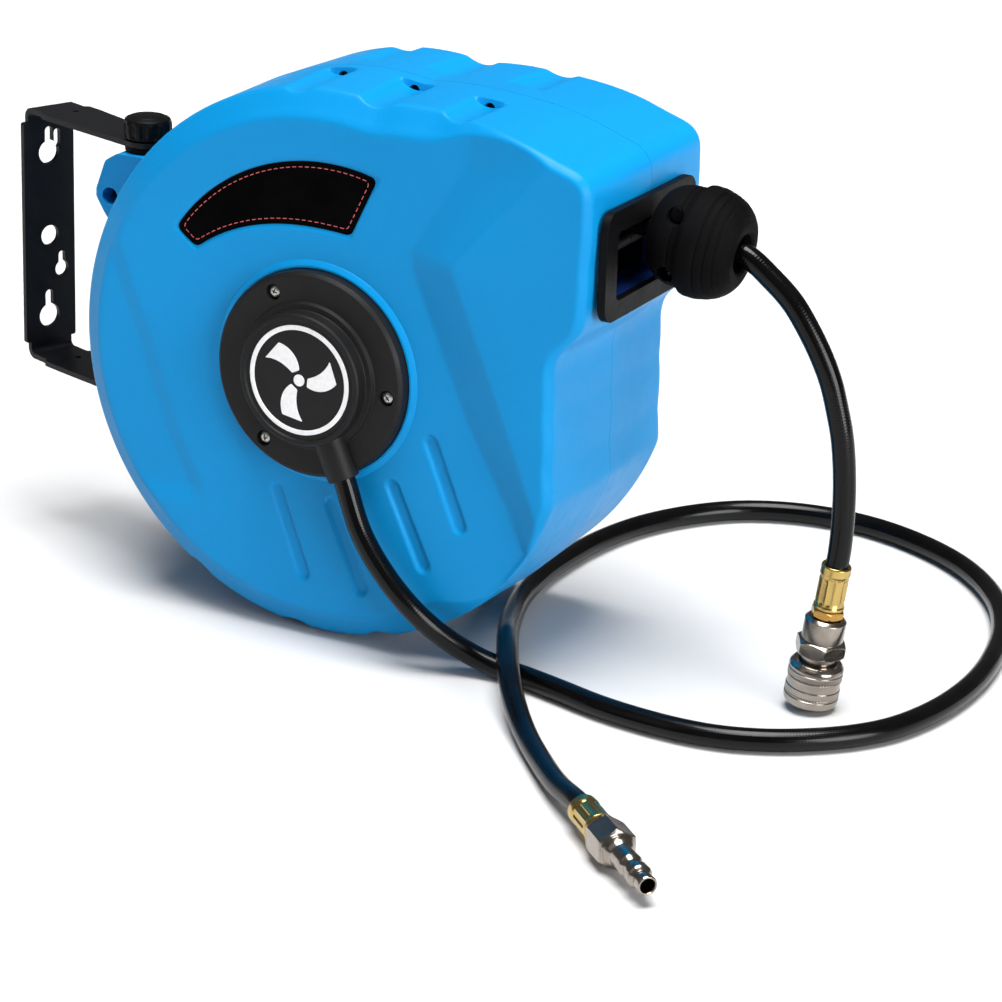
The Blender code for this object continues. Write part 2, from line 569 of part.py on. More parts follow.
for k in range(turns):
    yc = 41.9 + 6.15 + k * 12.75
    wound += [(WOUND_R - 1.5, yc - 5.6), (WOUND_R, yc)]
wound = [(61.4, 42.4)] + wound + [(61.4, 105.0)]
wound.insert(-1, (WOUND_R - 1.5, 104.9))
lathe("wound_hose", wound, "hose_black", case, (0, 0, 0), (0, 1, 0), 26)
teeth = []
NT = 12
for k in range(NT):
    a0 = 360.0 * k / NT
    for da, rr in ((0, 98), (20, 104.5), (24, 104.5), (26, 98)):
        a = math.radians(a0 + da)
        teeth.append((rr * math.cos(a), rr * math.sin(a)))
rat = prism("ratchet_ring", teeth, 109.0, 114.8, "drum_plastic", case)
boolean(rat, cyl_cutter("cut_ratchet", 88.0, 100, 120, case, (0, 0, 0), (0, 1, 0), 24))
lathe("spring_case", [(47.0, 108.9), (56.5, 108.9), (56.5, 126.6), (54.0, 126.6), (54.0, 111.0),
                      (47.0, 111.0)], "steel", case, (0, 0, 0), (0, 1, 0), 24)
lathe("spring_cover", ring(13.0, 56.5, 127.0, 128.2 - 0.6), "steel", case, (0, 0, 0),
      (0, 1, 0), 24)
turn_n, per = 4, 14
sp_pts_o, sp_pts_i = [], []
for k in range(turn_n * per + 1):
    a = 2 * math.pi * k / per
    r = 13.2 + (51.5 - 13.2) * k / (turn_n * per)
    sp_pts_o.append(((r + 0.5) * math.cos(a), (r + 0.5) * math.sin(a)))
    sp_pts_i.append(((r - 0.5) * math.cos(a), (r - 0.5) * math.sin(a)))
prism("main_spring", sp_pts_o + sp_pts_i[::-1], 112.0, 125.5, "spring_steel", case)

# ------------------------------------------------------------ hose that pays out
def catmull(keys, n_total):
    """Smooth curve through the keys (centripetal), sampled evenly by length."""
    P = [Vector(k) for k in keys]
    P = [P[0] * 2 - P[1]] + P + [P[-1] * 2 - P[-2]]
    dense = []
    for i in range(1, len(P) - 2):
        p0, p1, p2, p3 = P[i - 1], P[i], P[i + 1], P[i + 2]
        t0 = 0.0
        t1 = t0 + math.sqrt((p1 - p0).length)
        t2 = t1 + math.sqrt((p2 - p1).length)
        t3 = t2 + math.sqrt((p3 - p2).length)
        for s in range(24):
            t = t1 + (t2 - t1) * s / 24
            a1 = p0 * ((t1 - t) / (t1 - t0)) + p1 * ((t - t0) / (t1 - t0))
            a2 = p1 * ((t2 - t) / (t2 - t1)) + p2 * ((t - t1) / (t2 - t1))
            a3 = p2 * ((t3 - t) / (t3 - t2)) + p3 * ((t - t2) / (t3 - t2))
            b1 = a1 * ((t2 - t) / (t2 - t0)) + a2 * ((t - t0) / (t2 - t0))
            b2 = a2 * ((t3 - t) / (t3 - t1)) + a3 * ((t - t1) / (t3 - t1))
            dense.append(b1 * ((t2 - t) / (t2 - t1)) + b2 * ((t - t1) / (t2 - t1)))
    dense.append(P[-2])
    cum = [0.0]
    for a, b in zip(dense, dense[1:]):
        cum.append(cum[-1] + (b - a).length)
    out = []
    j = 0
    for k in range(n_total):
        s = cum[-1] * k / (n_total - 1)
        while j < len(cum) - 2 and cum[j + 1] < s:
            j += 1
        f = 0 if cum[j + 1] == cum[j] else (s - cum[j]) / (cum[j + 1] - cum[j])
        out.append(dense[j].lerp(dense[j + 1], f))
    return out


feed0 = TAN + FEED_DIR * 54.0
ball_dir = Vector((math.cos(math.radians(BALL_TILT)), 0, math.sin(math.radians(BALL_TILT))))
ball_c = Vector(BALL_C)
back = ball_c + ball_dir * BALL_BACK
feed1 = TAN + FEED_DIR * ((back - TAN).dot(FEED_DIR) - 0.9)
tube_curve("feed_hose", [feed0.lerp(feed1, k / 4) for k in range(5)], HOSE_R, "hose_black", case)

ball_prof = [(6.4, -23.5), (17.0, -23.5), (21.5, -20.5), (25.2, -15.0), (26.6, -8.0), (27.6, -1.5),
             (29.0, -1.5), (29.2, 5.0), (28.0, 12.0), (25.2, 17.5), (21.0, 21.5), (17.0, 24.0),
             (10.5, 24.0), (9.6, 17.0), (6.4, 17.0)]
bq = quat_to(ball_dir)
for tag, sgn in (("front", -1), ("rear", 1)):
    h = finish_mesh("stop_ball_" + tag, bm_lathe(ball_prof, 24), "rubber", case, BALL_C, 30, bq)
    y0, y1 = (HOSE_Y - 0.15, HOSE_Y + 60) if sgn < 0 else (HOSE_Y - 60, HOSE_Y + 0.15)
    boolean(h, finish_mesh("halve_" + tag, bm_prism(box_pts(150, 240, 40, 130), y0, y1),
                           None, case))
    for i, dz in enumerate((15.5, -15.5)):
        p = ball_c + ball_dir * -8.0 + Vector((-ball_dir.z, 0, ball_dir.x)) * dz
        boolean(h, cyl_cutter("bolt_hole_%s%d" % (tag, i), 2.3, 20, 110, case,
                              (p.x, 0, p.z), (0, 1, 0), 8))
        if sgn < 0:
            boolean(h, cyl_cutter("bolt_seat_%s%d" % (tag, i), 4.6, 20, 52, case,
                                  (p.x, 0, p.z), (0, 1, 0), 10))
for i, dz in enumerate((15.5, -15.5)):
    p = ball_c + ball_dir * -8.0 + Vector((-ball_dir.z, 0, ball_dir.x)) * dz
    screw("stop_ball_screw_%d" % (i + 1), p.x, 48.8, p.z, 30, 4.1, 2.9, 2.0, case)

LEAD_KEYS = [tuple(ball_c + ball_dir * -22.0), tuple(ball_c + ball_dir * -6.0),
             tuple(ball_c + ball_dir * 12.0), tuple(ball_c + ball_dir * 25.0),
             (231.5, 66, 74.0), (243.0, 66, 64.0), (252.5, 66, 51.5), (260.5, 66, 38.5),
             (266.5, 66, 26.0), (271.0, 66, 12.0), (274.6, 66, -2.0), (276.8, 66, -17.0),
             (278.0, 66, -33.0), (278.2, 66, -50.0), (277.4, 66, -65.0)]
FIT_DIR = Vector((-0.126, 0, -0.992)).normalized()
lead_end = Vector((276.0, 66, -75.8))
LEAD_KEYS.append(tuple(lead_end))
tube_curve("lead_hose", catmull(LEAD_KEYS, 16), HOSE_R, "hose_black", case)


def ferrule(name, base, d):
    prof = [(6.4, -5.0), (7.4, -5.0), (7.9, -4.0), (7.9, 1.0), (7.2, 2.0), (7.2, 16.0), (7.7, 17.0),
            (7.7, 19.0), (0, 19.0), (0, 0.4), (6.4, 0.4)]
    return lathe(name, prof, "brass", case, base, d, 16)


ferrule("lead_ferrule", lead_end, FIT_DIR)


def hex_piece(name, af, a0, a1, slot, base, d):
    bm = bm_prism(hexagon(af), a0, a1, "xy")
    return finish_mesh(name, bm, slot, case, base, 30, quat_to(d))


hex_piece("lead_nut", 15.5, 19.3, 24.0, "brass", lead_end, FIT_DIR)
body = lathe("coupler_body", [(0, 24.3), (9.6, 24.3), (11.0, 25.6), (11.0, 38.0), (11.0, 46.0),
                              (9.6, 46.0), (9.6, 62.0), (8.6, 62.0), (8.6, 73.0), (5.2, 73.0),
                              (5.2, 56.0), (0, 56.0)],
             "steel", case, lead_end, FIT_DIR, 18)
boolean(body, hex_piece("coupler_hex", 24.0, 37.0, 45.6, None, lead_end, FIT_DIR), "UNION")
lathe("coupler_sleeve", [(10.0, 49.5), (12.2, 49.5), (14.4, 51.8), (14.4, 70.5),
                         (13.2, 73.6), (10.0, 73.6)], "steel", case, lead_end, FIT_DIR, 20)

# ------------------------------------------------------------ inlet hose
FLOOR_Z = -146.0        # hose centre when it lies at the height of the case's foot
s0 = SPIG * 42.0 + Vector((0, SPIG_Y, 0))
s1 = SPIG * 51.0 + Vector((0, SPIG_Y, 0))
s2 = SPIG * 60.0 + Vector((0, SPIG_Y - 0.2, 0))
INLET_KEYS = [tuple(s0), tuple(s1), tuple(s2),
              (35.0, -3.0, -79), (49.0, -4.0, -98), (66.0, -2.5, -116), (81.0, 4.0, -130.5),
              (97.0, 10.5, -140.8), (113.0, 12.5, -145.6), (131.0, 9.0, FLOOR_Z),
              (153.0, 3.0, FLOOR_Z), (179.0, -4.5, FLOOR_Z), (204.0, -8.5, FLOOR_Z),
              (228.0, -9.5, FLOOR_Z), (250.0, -6.5, FLOOR_Z), (270.0, 1.5, FLOOR_Z),
              (288.0, 13.0, FLOOR_Z), (304.0, 27.5, FLOOR_Z), (317.5, 46.0, FLOOR_Z),
              (327.0, 70.0, FLOOR_Z), (333.0, 100.0, FLOOR_Z), (334.5, 135.0, FLOOR_Z),
              (330.5, 172.0, FLOOR_Z), (322.0, 208.0, FLOOR_Z), (308.0, 241.0, FLOOR_Z),
              (288.0, 270.0, FLOOR_Z), (264.0, 293.0, FLOOR_Z), (236.0, 310.0, FLOOR_Z),
              (206.0, 321.0, FLOOR_Z), (175.0, 324.0, FLOOR_Z), (145.0, 318.0, FLOOR_Z),
              (119.0, 303.5, FLOOR_Z), (97.5, 279.0, FLOOR_Z), (81.5, 248.0, FLOOR_Z),
              (72.5, 213.0, FLOOR_Z), (69.6, 180.0, FLOOR_Z), (69.5, 150.0, FLOOR_Z),
              (72.5, 123.0, FLOOR_Z), (78.3, 100.0, -145.0), (87.0, 76.0, -142.4),
              (97.4, 51.5, -138.8), (108.4, 28.0, -134.4), (118.6, 8.0, -132.8),
              (130.6, -14.0, -134.2), (144.0, -33.8, -139.6), (161.0, -54.8, -144.8),
              (183.2, -80.6, FLOOR_Z), (205.6, -105.8, -144.2),
              (225.7, -125.13, -141.0)]
inlet_end = Vector((234.4, -133.4, -141.0))     # the plug rests on its hexagon
PLUG_DIR = Vector((0.725, -0.689, 0)).normalized()
INLET_KEYS.append(tuple(inlet_end))
tube_curve("inlet_hose", catmull(INLET_KEYS, 50), HOSE_R, "hose_black", case, 2)
ferrule("inlet_ferrule", inlet_end, PLUG_DIR)
hex_piece("inlet_nut", 15.5, 19.3, 22.6, "brass", inlet_end, PLUG_DIR)
PLUG_K = 1.22           # the plug's parts are drawn from the nut, this much longer


def along(a):
    return 22.9 + (a - 22.9) * PLUG_K


plug_prof = [(0, 22.9), (8.0, 22.9), (8.8, 24.0), (8.8, 41.0), (6.2, 42.5), (6.2, 52.0), (4.6, 53.5),
             (4.6, 57.0), (6.2, 58.5), (6.2, 62.0), (4.2, 63.5), (4.9, 66.0), (4.9, 70.0), (3.6, 70.0),
             (3.6, 46.0), (0, 46.0)]
plug = lathe("inlet_plug", [(r, along(a)) for r, a in plug_prof], "steel", case, inlet_end,
             PLUG_DIR, 14)
boolean(plug, hex_piece("plug_hex", 18.5, 23.1, along(36.5), None, inlet_end, PLUG_DIR), "UNION")
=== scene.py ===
import json
import math

import bpy
import bmesh
import numpy as np
from mathutils import Matrix, Vector


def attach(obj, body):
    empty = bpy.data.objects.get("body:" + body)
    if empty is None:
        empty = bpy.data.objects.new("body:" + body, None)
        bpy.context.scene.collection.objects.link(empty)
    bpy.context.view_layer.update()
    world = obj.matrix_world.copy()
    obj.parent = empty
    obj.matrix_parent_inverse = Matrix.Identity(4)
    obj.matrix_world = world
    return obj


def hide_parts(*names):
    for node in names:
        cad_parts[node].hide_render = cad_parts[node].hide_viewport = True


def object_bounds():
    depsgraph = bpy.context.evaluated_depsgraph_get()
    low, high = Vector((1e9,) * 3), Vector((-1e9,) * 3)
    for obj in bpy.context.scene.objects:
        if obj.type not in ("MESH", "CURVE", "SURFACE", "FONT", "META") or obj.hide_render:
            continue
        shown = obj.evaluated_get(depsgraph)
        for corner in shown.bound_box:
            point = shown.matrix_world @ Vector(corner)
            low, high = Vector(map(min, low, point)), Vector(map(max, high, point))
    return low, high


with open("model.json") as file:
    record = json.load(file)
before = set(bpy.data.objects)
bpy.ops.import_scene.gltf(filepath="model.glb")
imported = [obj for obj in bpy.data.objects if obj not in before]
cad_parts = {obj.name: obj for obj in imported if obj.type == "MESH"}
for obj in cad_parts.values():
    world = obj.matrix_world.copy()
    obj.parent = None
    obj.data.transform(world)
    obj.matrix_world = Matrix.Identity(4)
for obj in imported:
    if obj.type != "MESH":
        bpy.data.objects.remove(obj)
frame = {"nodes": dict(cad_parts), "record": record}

cad_lo, cad_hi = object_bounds()

# ----------------------------------------------------------------------------
# The case is drawn in millimetres in its own frame (X to the outlet, Y from the
# inlet cover to the back, Z up); CASE carries it to the row frame in metres.
# ----------------------------------------------------------------------------
MM = 0.001
SWIVEL_REST = math.radians(21.4)
PIVOT = Vector((-146.0, 72.0, 17.5))
ORIGIN_UP = 12.0
CASE = (Matrix.Translation(Vector((100.0, 0.0, -ORIGIN_UP)) * MM)
        @ Matrix.Rotation(SWIVEL_REST, 4, "Z")
        @ Matrix.Scale(MM, 4) @ Matrix.Translation(-PIVOT))
WALL = Matrix.Translation(Vector((0.0, 0.0, -ORIGIN_UP)) * MM) @ Matrix.Scale(MM, 4)
CASE_ROT = Matrix.Rotation(SWIVEL_REST, 3, "Z")


def xf(m, pts):
    a = np.array(m, float)
    p = np.asarray(pts, float)
    return p @ a[:3, :3].T + a[:3, 3]


def H(x, y, z):
    return CASE @ Vector((x, y, z))


# ------------------------------------------------------------------ dimensions
CASE_R = 151.5
Y_FACE, Y_RIM, Y_SPLIT, Y_RIM_B, Y_BACK = 9.0, 18.0, 72.0, 135.0, 144.0
COVER_R, HUB_R, HOSE_R = 56.0, 36.4, 6.0
WRAP_R, HOSE_Y = 102.0, 66.0
BALL_C = Vector((191.0, 66.0, 88.0))
BALL_TILT = math.radians(-8.0)
BALL_DIR = Vector((math.cos(BALL_TILT), 0, math.sin(BALL_TILT)))
SPIG = Vector((0.40, 0.0, -0.917)).normalized()
SPIG_Y = -0.2
FLOOR_Z = -146.0
FIT_DIR = Vector((-0.126, 0, -0.992)).normalized()
LEAD_END = Vector((276.0, 66, -75.8))
PLUG_DIR = Vector((0.725, -0.689, 0)).normalized()
INLET_END = Vector((234.4, -133.4, -141.0))

# ---------------------------------------------------------------------- camera
CAM_R = Vector((0.88691, 0.46083, 0.03195)).normalized()
CAM_B = Vector((0.42362, -0.83897, 0.34156)).normalized()
CAM_R = (CAM_R - CAM_B * CAM_R.dot(CAM_B)).normalized()
CAM_U = CAM_B.cross(CAM_R).normalized()
cam_data = bpy.data.cameras.new("camera")
cam_data.sensor_width = 36.0
cam_data.lens = 3400.0 * 36.0 / 1002.0
cam_data.clip_start, cam_data.clip_end = 0.05, 50.0
cam = bpy.data.objects.new("camera", cam_data)
bpy.context.scene.collection.objects.link(cam)
cam_pos = CAM_R * 101.2 - CAM_U * 65.56 + CAM_B * 1781.8
rot = Matrix((CASE_ROT @ CAM_R, CASE_ROT @ CAM_U, CASE_ROT @ CAM_B)).transposed()
cam.matrix_world = Matrix.Translation(CASE @ cam_pos) @ rot.to_4x4()
bpy.context.scene.camera = cam


# -------------------------------------------------------------- cord centrelines
def catmull(keys, n_total):
    """Smooth curve through the keys (centripetal), sampled evenly by length."""
    P = [Vector(k) for k in keys]
    P = [P[0] * 2 - P[1]] + P + [P[-1] * 2 - P[-2]]
    dense = []
    for i in range(1, len(P) - 2):
        p0, p1, p2, p3 = P[i - 1], P[i], P[i + 1], P[i + 2]
        t0 = 0.0
        t1 = t0 + math.sqrt((p1 - p0).length)
        t2 = t1 + math.sqrt((p2 - p1).length)
        t3 = t2 + math.sqrt((p3 - p2).length)
        for s in range(24):
            t = t1 + (t2 - t1) * s / 24
            a1 = p0 * ((t1 - t) / (t1 - t0)) + p1 * ((t - t0) / (t1 - t0))
            a2 = p1 * ((t2 - t) / (t2 - t1)) + p2 * ((t - t1) / (t2 - t1))
            a3 = p2 * ((t3 - t) / (t3 - t2)) + p3 * ((t - t2) / (t3 - t2))
            b1 = a1 * ((t2 - t) / (t2 - t0)) + a2 * ((t - t0) / (t2 - t0))
            b2 = a2 * ((t3 - t) / (t3 - t1)) + a3 * ((t - t1) / (t3 - t1))
            dense.append(b1 * ((t2 - t) / (t2 - t1)) + b2 * ((t - t1) / (t2 - t1)))
    dense.append(P[-2])
    cum = [0.0]
    for a, b in zip(dense, dense[1:]):
        cum.append(cum[-1] + (b - a).length)
    out = []
    j = 0
    for k in range(n_total):
        s = cum[-1] * k / (n_total - 1)
        while j < len(cum) - 2 and cum[j + 1] < s:
            j += 1
        f = 0 if cum[j + 1] == cum[j] else (s - cum[j]) / (cum[j + 1] - cum[j])
        out.append(dense[j].lerp(dense[j + 1], f))
    return out, cum[-1]


LEAD_KEYS = [BALL_C + BALL_DIR * -6.0, BALL_C + BALL_DIR * 12.0,
             BALL_C + BALL_DIR * 25.0, (231.5, 66, 74.0), (243.0, 66, 64.0), (252.5, 66, 51.5),
             (260.5, 66, 38.5), (266.5, 66, 26.0), (271.0, 66, 12.0), (274.6, 66, -2.0),
             (276.8, 66, -17.0), (278.0, 66, -33.0), (278.2, 66, -50.0), (277.4, 66, -65.0),
             LEAD_END]
F_ = FLOOR_Z
INLET_KEYS = [SPIG * 42.0 + Vector((0, SPIG_Y, 0)), SPIG * 51.0 + Vector((0, SPIG_Y, 0)),
              SPIG * 60.0 + Vector((0, SPIG_Y - 0.2, 0)),
              (35.0, -3.0, -79), (49.0, -4.0, -98), (66.0, -2.5, -116), (81.0, 4.0, -130.5),
              (97.0, 10.5, -140.8), (113.0, 12.5, -145.6), (131.0, 9.0, F_), (153.0, 3.0, F_),
              (179.0, -4.5, F_), (204.0, -8.5, F_), (228.0, -9.5, F_), (250.0, -6.5, F_),
              (270.0, 1.5, F_), (288.0, 13.0, F_), (304.0, 27.5, F_), (317.5, 46.0, F_),
              (327.0, 70.0, F_), (333.0, 100.0, F_), (334.5, 135.0, F_), (330.5, 172.0, F_),
              (322.0, 208.0, F_), (308.0, 241.0, F_), (288.0, 270.0, F_), (264.0, 293.0, F_),
              (236.0, 310.0, F_), (206.0, 321.0, F_), (175.0, 324.0, F_), (145.0, 318.0, F_),
              (119.0, 303.5, F_), (97.5, 279.0, F_), (81.5, 248.0, F_), (72.5, 213.0, F_),
              (69.6, 180.0, F_), (69.5, 150.0, F_), (72.5, 123.0, F_), (78.3, 100.0, -145.0),
              (87.0, 76.0, -142.4), (97.4, 51.5, -138.8), (108.4, 28.0, -134.4),
              (118.6, 8.0, -132.8), (130.6, -14.0, -134.2), (144.0, -33.8, -139.6),
              (161.0, -54.8, -144.8), (183.2, -80.6, F_), (205.6, -105.8, -144.2),
              (225.7, -125.13, -141.0), INLET_END]


# ------------------------------------------------------------------ mesh helpers
def link(ob):
    bpy.context.scene.collection.objects.link(ob)
    return ob


def mesh_ob(name, verts, faces, mat, attrs=None, smooth=True):
    me = bpy.data.meshes.new(name)
    me.from_pydata(np.asarray(verts, float).tolist(), [],
                   faces.tolist() if isinstance(faces, np.ndarray) else faces)
    me.update()
    for k, v in (attrs or {}).items():
        at = me.attributes.new(k, "FLOAT", "POINT")
        at.data.foreach_set("value", np.asarray(v, np.float32).ravel())
    if smooth:
        me.shade_smooth()
    if mat is not None:
        me.materials.append(mat)
    return link(bpy.data.objects.new(name, me))


def grid_faces(nu, nv, wrap_u, wrap_v, flip=False):
    """Quads over an nu x nv grid whose vertex (i, j) has number i * nv + j."""
    iu = np.arange(nu if wrap_u else nu - 1)
    iv = np.arange(nv if wrap_v else nv - 1)
    I, J = np.meshgrid(iu, iv, indexing="ij")
    I2, J2 = (I + 1) % nu, (J + 1) % nv
    q = np.stack([I * nv + J, I * nv + J2, I2 * nv + J2, I2 * nv + J], -1).reshape(-1, 4)
    return q[:, ::-1] if flip else q


def outward(ob):
    bm = bmesh.new()
    bm.from_mesh(ob.data)
    bmesh.ops.recalc_face_normals(bm, faces=bm.faces)
    bm.to_mesh(ob.data)
    bm.free()
    return ob


def place(ob, body, slot, *nodes):
    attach(ob, body)
    if nodes:
        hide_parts(*nodes)
    return ob


def frame_axes(axis):
    w = Vector(axis).normalized()
    ref = Vector((0, 0, 1)) if abs(w.z) < 0.9 else Vector((1, 0, 0))
    u = (ref - w * ref.dot(w)).normalized()
    return u, w.cross(u), w


def rounded(pts, radii, n=4, closed=False):
    """Polyline with its corners rounded. radii is one number or one for each point."""
    P = [Vector((p[0], p[1])) for p in pts]
    R = [radii] * len(P) if isinstance(radii, (int, float)) else list(radii)
    out = []
    N = len(P)
    for i, p in enumerate(P):
        if (not closed and i in (0, N - 1)) or R[i] <= 0:
            out.append((p.x, p.y))
            continue
        a, b = P[i - 1], P[(i + 1) % N]
        da, db = (a - p), (b - p)
        la, lb = da.length, db.length
        if la < 1e-6 or lb < 1e-6:
            continue
        da, db = da / la, db / lb
        ang = math.acos(max(-1, min(1, da.dot(db))))
        if ang > math.radians(176):
            out.append((p.x, p.y))
            continue
        t = min(R[i] / math.tan(ang / 2), la * 0.48, lb * 0.48)
        s, e = p + da * t, p + db * t
        for k in range(n + 1):
            f = k / n
            q = s * (1 - f) ** 2 + p * (2 * f * (1 - f)) + e * f ** 2
            out.append((q.x, q.y))
    return out


def turn(name, prof, origin, axis, mat, m=CASE, seg=96, rfun=None, a0=0.0, a1=2 * math.pi,
         closed_prof=False):
    """Body of revolution from (radius, along) points, with rfun(phi, r, a) as its true radius.
    A part turn is closed by two flat faces."""
    prof = np.array(prof, float)
    full = abs(a1 - a0 - 2 * math.pi) < 1e-6
    n = seg if full else seg + 1
    phi = a0 + (a1 - a0) * np.arange(n) / seg
    u, v, w = frame_axes(axis)
    A, RR = prof[:, 1], prof[:, 0]
    PH, R = np.meshgrid(phi, RR, indexing="ij")
    AL = np.meshgrid(phi, A, indexing="ij")[1]
    if rfun is not None:
        R = np.where(R > 1e-6, rfun(PH, R, AL), R)
    P = (np.array(origin)[None, None] + (R * np.cos(PH))[..., None] * np.array(u)
         + (R * np.sin(PH))[..., None] * np.array(v) + AL[..., None] * np.array(w))
    npf = len(prof)
    faces = grid_faces(n, npf, full, closed_prof).tolist()
    verts = P.reshape(-1, 3)
    if not full:
        faces.append([j for j in range(npf)][::-1])
        faces.append([(n - 1) * npf + j for j in range(npf)])
    ob = mesh_ob(name, xf(m, verts), faces, mat,
                 {"ax": AL.ravel(), "rr": R.ravel(), "cu": np.cos(PH).ravel(),
                  "su": np.sin(PH).ravel()})
    bm = bmesh.new()
    bm.from_mesh(ob.data)
    bmesh.ops.remove_doubles(bm, verts=bm.verts, dist=1e-6)
    bmesh.ops.dissolve_degenerate(bm, edges=bm.edges, dist=1e-7)
    bmesh.ops.recalc_face_normals(bm, faces=bm.faces)
    bm.to_mesh(ob.data)
    bm.free()
    ob.data.shade_smooth()
    ob.data.set_sharp_from_angle(angle=math.radians(42))
    return ob


def hex_radius(phi, af):
    k = np.mod(phi, math.pi / 3) - math.pi / 6
    return af / 2 / np.cos(k)


def hex_turn(name, af, a_lo, a_hi, cham, origin, axis, mat, bore=0.0, m=CASE, seg=144, flank=30.0,
             both=True):
    """Hexagon with the curved chamfers a turned nut has."""
    rc = af / 2 / math.cos(math.pi / 6)
    t = math.tan(math.radians(flank))
    face_r = af / 2 - cham
    arr = np.linspace(0, 1, 9)
    edge = (rc - face_r) * t
    al = [a_lo + edge * x for x in arr] if both else [a_lo]
    al += list(np.linspace(a_lo + edge, a_hi - edge, 6)[1:-1])
    al += [a_hi - edge + edge * x for x in arr]
    prof = [(bore if bore else 0, a_lo), (face_r * 0.98, a_lo)] + [(rc, a) for a in al] \
        + [(face_r * 0.98, a_hi), (bore if bore else 0, a_hi)]

    def rf(PH, R, AL):
        hx = hex_radius(PH, af)
        cone_hi = face_r + (a_hi - AL) / t
        cone_lo = face_r + (AL - a_lo) / t if both else 1e9
        r = np.minimum(np.minimum(hx, cone_hi), cone_lo)
        return np.where(np.abs(R - rc) < 1e-6, r, R)
    return turn(name, prof, origin, axis, mat, m, seg, rf, closed_prof=bool(bore))


def prism_bm(pts, lo, hi, plane):
    def v3(a, b, t):
        return {"xz": (a, t, b), "xy": (a, b, t), "yz": (t, a, b)}[plane]
    bm = bmesh.new()
    vs = [bm.verts.new(v3(a, b, lo)) for a, b in pts]
    f = bm.faces.new(vs)
    r = bmesh.ops.extrude_face_region(bm, geom=[f])
    bmesh.ops.translate(bm, vec=Vector(v3(0, 0, hi - lo)),
                        verts=[g for g in r["geom"] if isinstance(g, bmesh.types.BMVert)])
    bmesh.ops.recalc_face_normals(bm, faces=bm.faces)
    return bm


def bm_ob(name, bm, mat, m=CASE):
    bmesh.ops.transform(bm, matrix=m, verts=bm.verts)
    bmesh.ops.recalc_face_normals(bm, faces=bm.faces)
    me = bpy.data.meshes.new(name)
    bm.to_mesh(me)
    bm.free()
    if mat is not None:
        me.materials.append(mat)
    return link(bpy.data.objects.new(name, me))


def cyl_bm(r, a0, a1, origin, axis, seg=32):
    u, v, w = frame_axes(axis)
    bm = bmesh.new()
    rings = []
    for a in (a0, a1):
        rings.append([bm.verts.new(Vector(origin) + w * a + u * (r * math.cos(t)) + v * (r * math.sin(t)))
                      for t in [2 * math.pi * k / seg for k in range(seg)]])
    for i in range(seg):
        j = (i + 1) % seg
        bm.faces.new((rings[0][i], rings[0][j], rings[1][j], rings[1][i]))
    bm.faces.new(rings[0][::-1])
    bm.faces.new(rings[1])
    bmesh.ops.recalc_face_normals(bm, faces=bm.faces)
    return bm


def merge_bm(*bms):
    out = bmesh.new()
    for b in bms:
        me = bpy.data.meshes.new("tmp")
        b.to_mesh(me)
        b.free()
        out.from_mesh(me)
        bpy.data.meshes.remove(me)
    return out


def box_pts(a0, a1, b0, b1):
    return [(a0, b0), (a1, b0), (a1, b1), (a0, b1)]


def arc(cx, cz, r, a0, a1, n):
    return [(cx + r * math.cos(math.radians(a0 + (a1 - a0) * i / n)),
             cz + r * math.sin(math.radians(a0 + (a1 - a0) * i / n))) for i in range(n + 1)]


def carve(ob, bm, op="DIFFERENCE", m=CASE):
    """Apply one Boolean with a mesh drawn in mm."""
    c = bm_ob(ob.name + "_cutter", bm, None, m)
    mod = ob.modifiers.new("cut", "BOOLEAN")
    mod.operation, mod.solver, mod.object = op, "EXACT", c
    bake_mods(ob)
    bpy.data.objects.remove(c, do_unlink=True)
    return ob


def bake_mods(ob):
    dg = bpy.context.evaluated_depsgraph_get()
    dg.update()
    me = bpy.data.meshes.new_from_object(ob.evaluated_get(dg), preserve_all_data_layers=True,
                                         depsgraph=dg)
    ob.modifiers.clear()
    old = ob.data
    ob.data = me
    bpy.data.meshes.remove(old)
    return ob


def soft_edges(ob, width, seg=3, angle=32, smooth=40):
    """Round the edges of a sharp body and shade it."""
    b = ob.modifiers.new("edge", "BEVEL")
    b.width, b.segments, b.limit_method = width * MM, seg, "ANGLE"
    b.angle_limit = math.radians(angle)
    b.harden_normals = False
    bake_mods(ob)
    ob.data.shade_smooth()
    ob.data.set_sharp_from_angle(angle=math.radians(smooth))
    wn = ob.modifiers.new("weights", "WEIGHTED_NORMAL")
    wn.keep_sharp, wn.weight = True, 100
    return bake_mods(ob)


